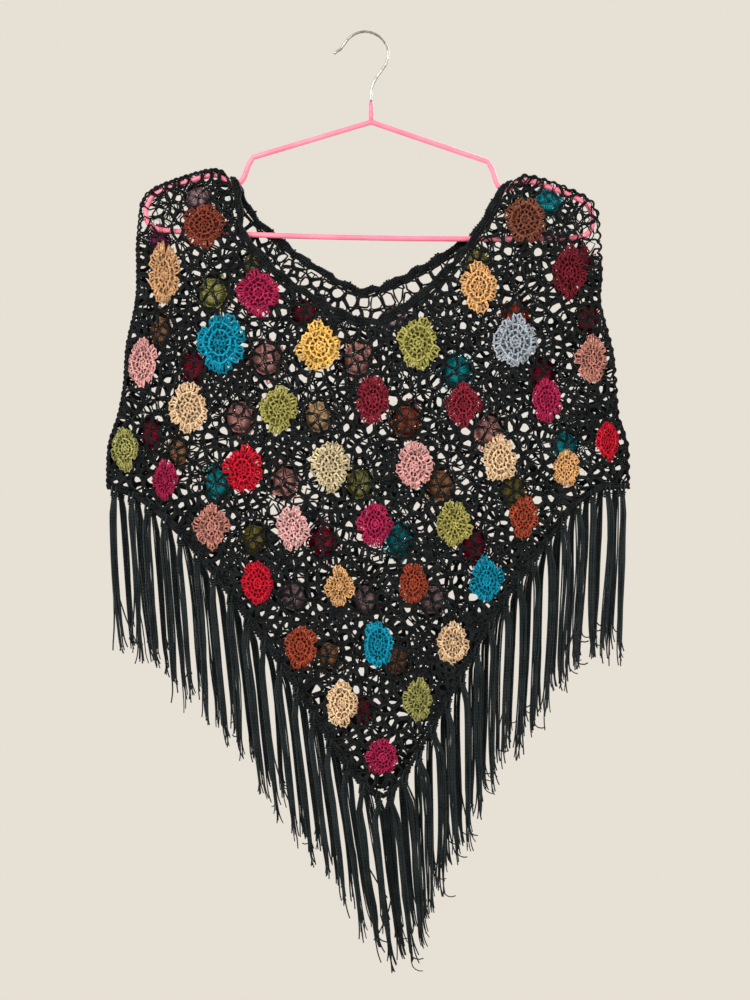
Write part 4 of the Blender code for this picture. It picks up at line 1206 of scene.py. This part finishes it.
def hem_band(layer, finish):
    """The hem row on both sides of the tip, and the chain down each side fold."""
    rng = np.random.default_rng(HEM_STATIONS)
    parts = []
    for side in ("left", "right"):
        _, stations = lock_places(layer, side)
        x = np.linspace(stations[0], stations[-1], HEM_STATIONS)
        low, high = (hem_at(layer, side, x, up) for up in (HEM_LOW, HEM_HIGH))
        parts.append(wound(layer, low, high, HEM_DEEP, HEM_YARN, rng))
        parts.append(laid((low + high)[None] / 2, layer, EDGING_WALL / 2, HEM_CORE))
        fold = FOLD_LINES[side]
        beyond = np.abs(fold[:, 0] - APEX[0]) > NOTCH_OUT + NECK_WIDTH[layer]
        fold = curve_through(fold[beyond], CHAIN_STEP)
        inwards = left_of(fold) * (1 if side == "left" else -1)
        beat = travel(fold) / FOLD_SCALLOP + BEAT_DRIFT * np.sin(travel(fold) / BEAT_LENGTH)
        sway = CHAIN_IN - CHAIN_SWAY * np.abs(np.sin(math.pi * beat))
        for deeper, yarn in FOLD_CHAINS:
            chain = fold + inwards * (sway + deeper)[:, None]
            thick = yarn * (1 - CORNER_THIN * corner_share(fold))
            parts.append(laid(chain[None], layer, CHAIN_HEIGHT + CHAIN_RISE * deeper, thick))
    return add_piece(f"{layer}_hem_band", joined(parts), finish)


def bundle_roots(layer, side):
    """Each bundle's root in space, its length and its lean."""
    middles, _ = lock_places(layer, side)
    rng = np.random.default_rng(LOCK_SEED[layer][side])
    length = LOCK_LENGTH + rng.uniform(-LOCK_SPREAD, LOCK_SPREAD, LOCKS)
    roots, _ = hang(hem_at(layer, side, middles, 0.0), layer, EDGING_WALL / 2)
    return roots, length, np.interp(middles, *np.array(LEAN).T), rng


def knots(layer, side):
    """Two loops over the hem row and two wraps below it for each bundle, as closed rings.
    Round a ring the place is its middle plus its half sizes times the cosine of the turn
    across and up and the sine through the cloth. A wrap moves aside with its lean."""
    roots, _, lean, _ = bundle_roots(layer, side)
    angle = 2 * math.pi * np.arange(KNOT_POINTS) / KNOT_POINTS
    rings = []
    for across, up, wide, deep, tall, yarn, square in KNOT_RINGS:
        ring = np.stack(
            [across + wide * np.cos(angle), deep * np.sin(angle), up + tall * np.cos(angle)], axis=1
        )
        ring = roots[:, None] + ring
        ring[:, :, 0] -= (lean * min(up, 0.0))[:, None]
        rings.append(sweep(ring, yarn, square, closed=True))
    return rings


def strands(layer, side):
    """The bundles' yarns. Down a yarn its place is the root, plus its place in the bundle
    times a width that narrows at the knot and opens at the end, plus the lean times the
    length run, a slow sway shared by the bundle, and a curl that grows with the square of
    the way into the last fifth. The tip is an arc: at a bend b it goes (1 - cos b) of its
    radius aside and sin b down. Front and back bundles part until each hangs in the
    other's gaps."""
    roots, length, lean, rng = bundle_roots(layer, side)
    hand = 1 if side == "left" else -1
    front, back = lock_places("front", side)[0], lock_places("back", side)[0]
    parting = hand * PARTED - (back - front)
    parting = parting / 2 * (-1 if layer == "front" else 1)
    shape = (LOCKS, STRANDS, 1)
    down = np.array(STRAND_DOWN)
    across = np.linspace(-BUNDLE_HALF, BUNDLE_HALF, STRANDS)
    across = across + rng.normal(0, ACROSS_ROUGH, (LOCKS, STRANDS))
    through = np.where(np.arange(STRANDS) % 2 == 0, -BUNDLE_ROW, BUNDLE_ROW)
    through = (through + rng.normal(0, THROUGH_ROUGH, (LOCKS, STRANDS)))[..., None]
    across = across[..., None] * rng.uniform(*BUNDLE_WIDTH[side], (LOCKS, 1, 1))
    own = LEAST_STRAND + STRAND_SPREAD * np.sqrt(rng.uniform(0, 1, shape))
    own = length[:, None, None] * own
    own = own * np.where(rng.uniform(0, 1, shape) < LONG_SHARE, LONG_STRAND, 1.0)
    width = np.interp(down, *np.array(BUNDLE_FORM).T)
    sway = rng.normal(0, SWAY, (LOCKS, 1, 1))
    sway = sway * np.sin(math.pi * down * rng.uniform(*SWAY_WAVES, (LOCKS, 1, 1)))
    ripple = rng.normal(0, RIPPLE, shape)
    waves = down * rng.uniform(*RIPPLE_WAVES, shape) + rng.uniform(0, 1, shape)
    ripple = ripple * np.sin(2 * math.pi * waves)
    tail = np.clip((down - TAIL_FROM) / TAIL, 0, 1) ** 2
    curl = rng.normal(DRIFT[side], CURL, shape) * tail
    stray = rng.uniform(0, 1, shape) < STRAY / (LOCKS * STRANDS)
    away = np.clip((down - STRAY_FROM) / STRAY_TAIL, 0, 1) ** STRAY_POWER
    curl = curl + np.where(stray, rng.normal(0, STRAY_REACH, shape) * away, 0)
    hooked = rng.uniform(0, 1, shape) < HOOKED[side]
    towards = np.where(rng.uniform(0, 1, shape) < BENT_RIGHT[side], 1.0, -1.0)
    hooks = rng.uniform(*HOOK_BEND, shape)
    bend = np.where(hooked, hooks, np.abs(rng.normal(0, TIP_BEND, shape)) + LEAST_BEND)
    run = np.clip((down - TIP) / (1 - TIP), 0, 1)
    arc = own * (1 - TIP) / bend
    aside = towards * arc * (1 - np.cos(bend * run))
    lifted = arc * (bend * run - np.sin(bend * run))
    gone = np.clip(down / PARTED_BY, 0, 1)
    apart = parting[:, None, None] * gone * gone * (3 - 2 * gone)
    x = roots[:, 0, None, None] + across * width + lean[:, None, None] * own * down
    x = x + apart + sway + ripple + curl + aside
    y = roots[:, 1, None, None] + through * width + rng.normal(0, TAIL_ROUGH, shape) * tail
    z = roots[:, 2, None, None] - BELOW_ROW - own * down + np.abs(curl) * CURL_LIFT + lifted
    paths = np.stack([x, np.broadcast_to(y, x.shape), z], axis=3).reshape(-1, len(down), 3)
    thick = STRAND_RADIUS * rng.uniform(*STRAND_UNEVEN, (len(paths), 1))
    return sweep(paths, thick * np.interp(down, *np.array(STRAND_FORM).T), towards_viewer)


def fringe(layer, finish):
    """A layer's knots and fringe as one piece."""
    parts = []
    for side in ("left", "right"):
        parts.extend(knots(layer, side))
        parts.append(strands(layer, side))
    made = add_piece(f"{layer}_fringe", joined(parts), finish)
    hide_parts(f"{layer}_fringe_left", f"{layer}_fringe_right")
    return made


fringe_yarn, tree, shader = new_finish("fringe_yarn", (0.006, 0.009, 0.011), 0.4, 0.12)
shader.inputs["Sheen Weight"].default_value = 0.02
shader.inputs["Sheen Tint"].default_value = (0.5, 0.8, 0.85, 1.0)
mottle(tree, shader, (0.004, 0.007, 0.008), (0.012, 0.017, 0.018), 60.0)
twist(tree, 2.4, 0.35)

hem_bands = {layer: hem_band(layer, black_yarn) for layer in LAYERS}
fringes = {layer: fringe(layer, fringe_yarn) for layer in LAYERS}

# Tiny faceted glints, white, teal and green, are caught in the black yarn here and there.
# They are the shiny thread that is plied into it, where it catches the light.
GLINTS, GLINT_TRIES, GLINT_MARGIN = 240, 6, 1.0
GLINT_SIZE, GLINT_ENDS = (0.45, 0.80), 0.1
GLINT_TINTS = ((0.9, 0.92, 0.95), (0.35, 0.72, 0.68), (0.4, 0.72, 0.5))
GLINT_ODDS = (0.55, 0.25, 0.20)


def glints(layer, finish):
    """Short four-sided beads at random places of the net, each a swelling between points."""
    outline = outlines[layer]
    rng = np.random.default_rng(GLINTS)
    places = rng.uniform(outline.min(axis=0), outline.max(axis=0), (GLINT_TRIES * GLINTS, 2))
    free = inside(places, outline) & ~in_flowers(places, layer, margin=GLINT_MARGIN)
    places = places[free][:GLINTS]
    size = rng.uniform(*GLINT_SIZE, (len(places), 1))
    chart = places[:, None] + np.array([[[-1.0, 0.0], [0.0, 0.0], [1.0, 0.0]]]) * size[..., None]
    thick = size * np.array([GLINT_ENDS, 1.0, GLINT_ENDS])
    swept = laid(chart, layer, NET_WALL / 2 + YARN_RADIUS, thick)
    tints = np.array(GLINT_TINTS)[rng.choice(len(GLINT_TINTS), len(places), p=GLINT_ODDS)]
    return add_piece(f"{layer}_glints", swept, finish, tints)


glint, tree, shader = new_finish("glint", (0.8, 0.9, 0.9), 0.12, metallic=1.0)
tree.links.new(tint_of(tree), shader.inputs["Base Color"])
glint_pieces = {layer: glints(layer, glint) for layer in LAYERS}

# Each net was worked flat to its outline on the chart and hangs on the hanger's wire.
# The loop below only takes the size of each outline.
for layer in LAYERS:
    outline = outlines[layer]
    size = (outline.max(axis=0) - outline.min(axis=0)) * MM

# The studio: a pale floor far below, pale surroundings, two large soft lights in front
# and two behind, and a camera square to the front at the photograph's scale.
FLOOR_HEIGHT, FLOOR_RADIUS, FLOOR_CORNERS = -2.6, 6.0, 96
VIEW_CENTRE = (0.00895, -0.418)
VIEW_HEIGHT = 0.895
LENS = 85.0
SENSOR = 36.0
LIGHTS = (
    # name, x, y, z, size, watts
    ("key", -1.3, -2.0, 0.9, 1.6, 70.0),
    ("fill", 1.6, -1.8, -0.2, 1.6, 28.0),
    ("rear_key", 1.3, 2.0, 0.9, 1.6, 55.0),
    ("rear_fill", -1.6, 1.8, -0.2, 1.6, 24.0),
)
pale, tree, shader = new_finish("pale_floor", (0.64, 0.60, 0.545), 0.8, 0.2)
floor_mesh = bpy.data.meshes.new("floor")
turn = 2 * math.pi * np.arange(FLOOR_CORNERS) / FLOOR_CORNERS
rim = np.column_stack([np.cos(turn), np.sin(turn)]) * FLOOR_RADIUS
rim = np.column_stack([rim, np.full(FLOOR_CORNERS, FLOOR_HEIGHT)])
floor_mesh.from_pydata(rim.tolist(), [], [tuple(range(FLOOR_CORNERS))])
floor_mesh.materials.append(pale)
floor = bpy.data.objects.new("floor", floor_mesh)
bpy.context.collection.objects.link(floor)

world = bpy.data.worlds.new("surroundings")
world.use_nodes = True
world.node_tree.nodes["Background"].inputs["Color"].default_value = (0.80, 0.745, 0.665, 1.0)
world.node_tree.nodes["Background"].inputs["Strength"].default_value = 1.0
bpy.context.scene.world = world
aim = Vector((VIEW_CENTRE[0], 0.0, VIEW_CENTRE[1]))
for name, x, y, z, size, watts in LIGHTS:
    light = bpy.data.lights.new(name, "AREA")
    light.size, light.energy = size, watts
    lamp = bpy.data.objects.new(name, light)
    lamp.location = (x, y, z)
    lamp.rotation_euler = (aim - lamp.location).to_track_quat("-Z", "Y").to_euler()
    bpy.context.collection.objects.link(lamp)

camera = bpy.data.cameras.new("camera")
camera.lens, camera.sensor_width = LENS, SENSOR
seat = bpy.data.objects.new("camera", camera)
seat.location = (VIEW_CENTRE[0], -VIEW_HEIGHT / SENSOR * LENS, VIEW_CENTRE[1])
seat.rotation_euler = (math.radians(90.0), 0.0, 0.0)
bpy.context.collection.objects.link(seat)
bpy.context.scene.camera = seat
bpy.context.scene.view_settings.view_transform = "Standard"
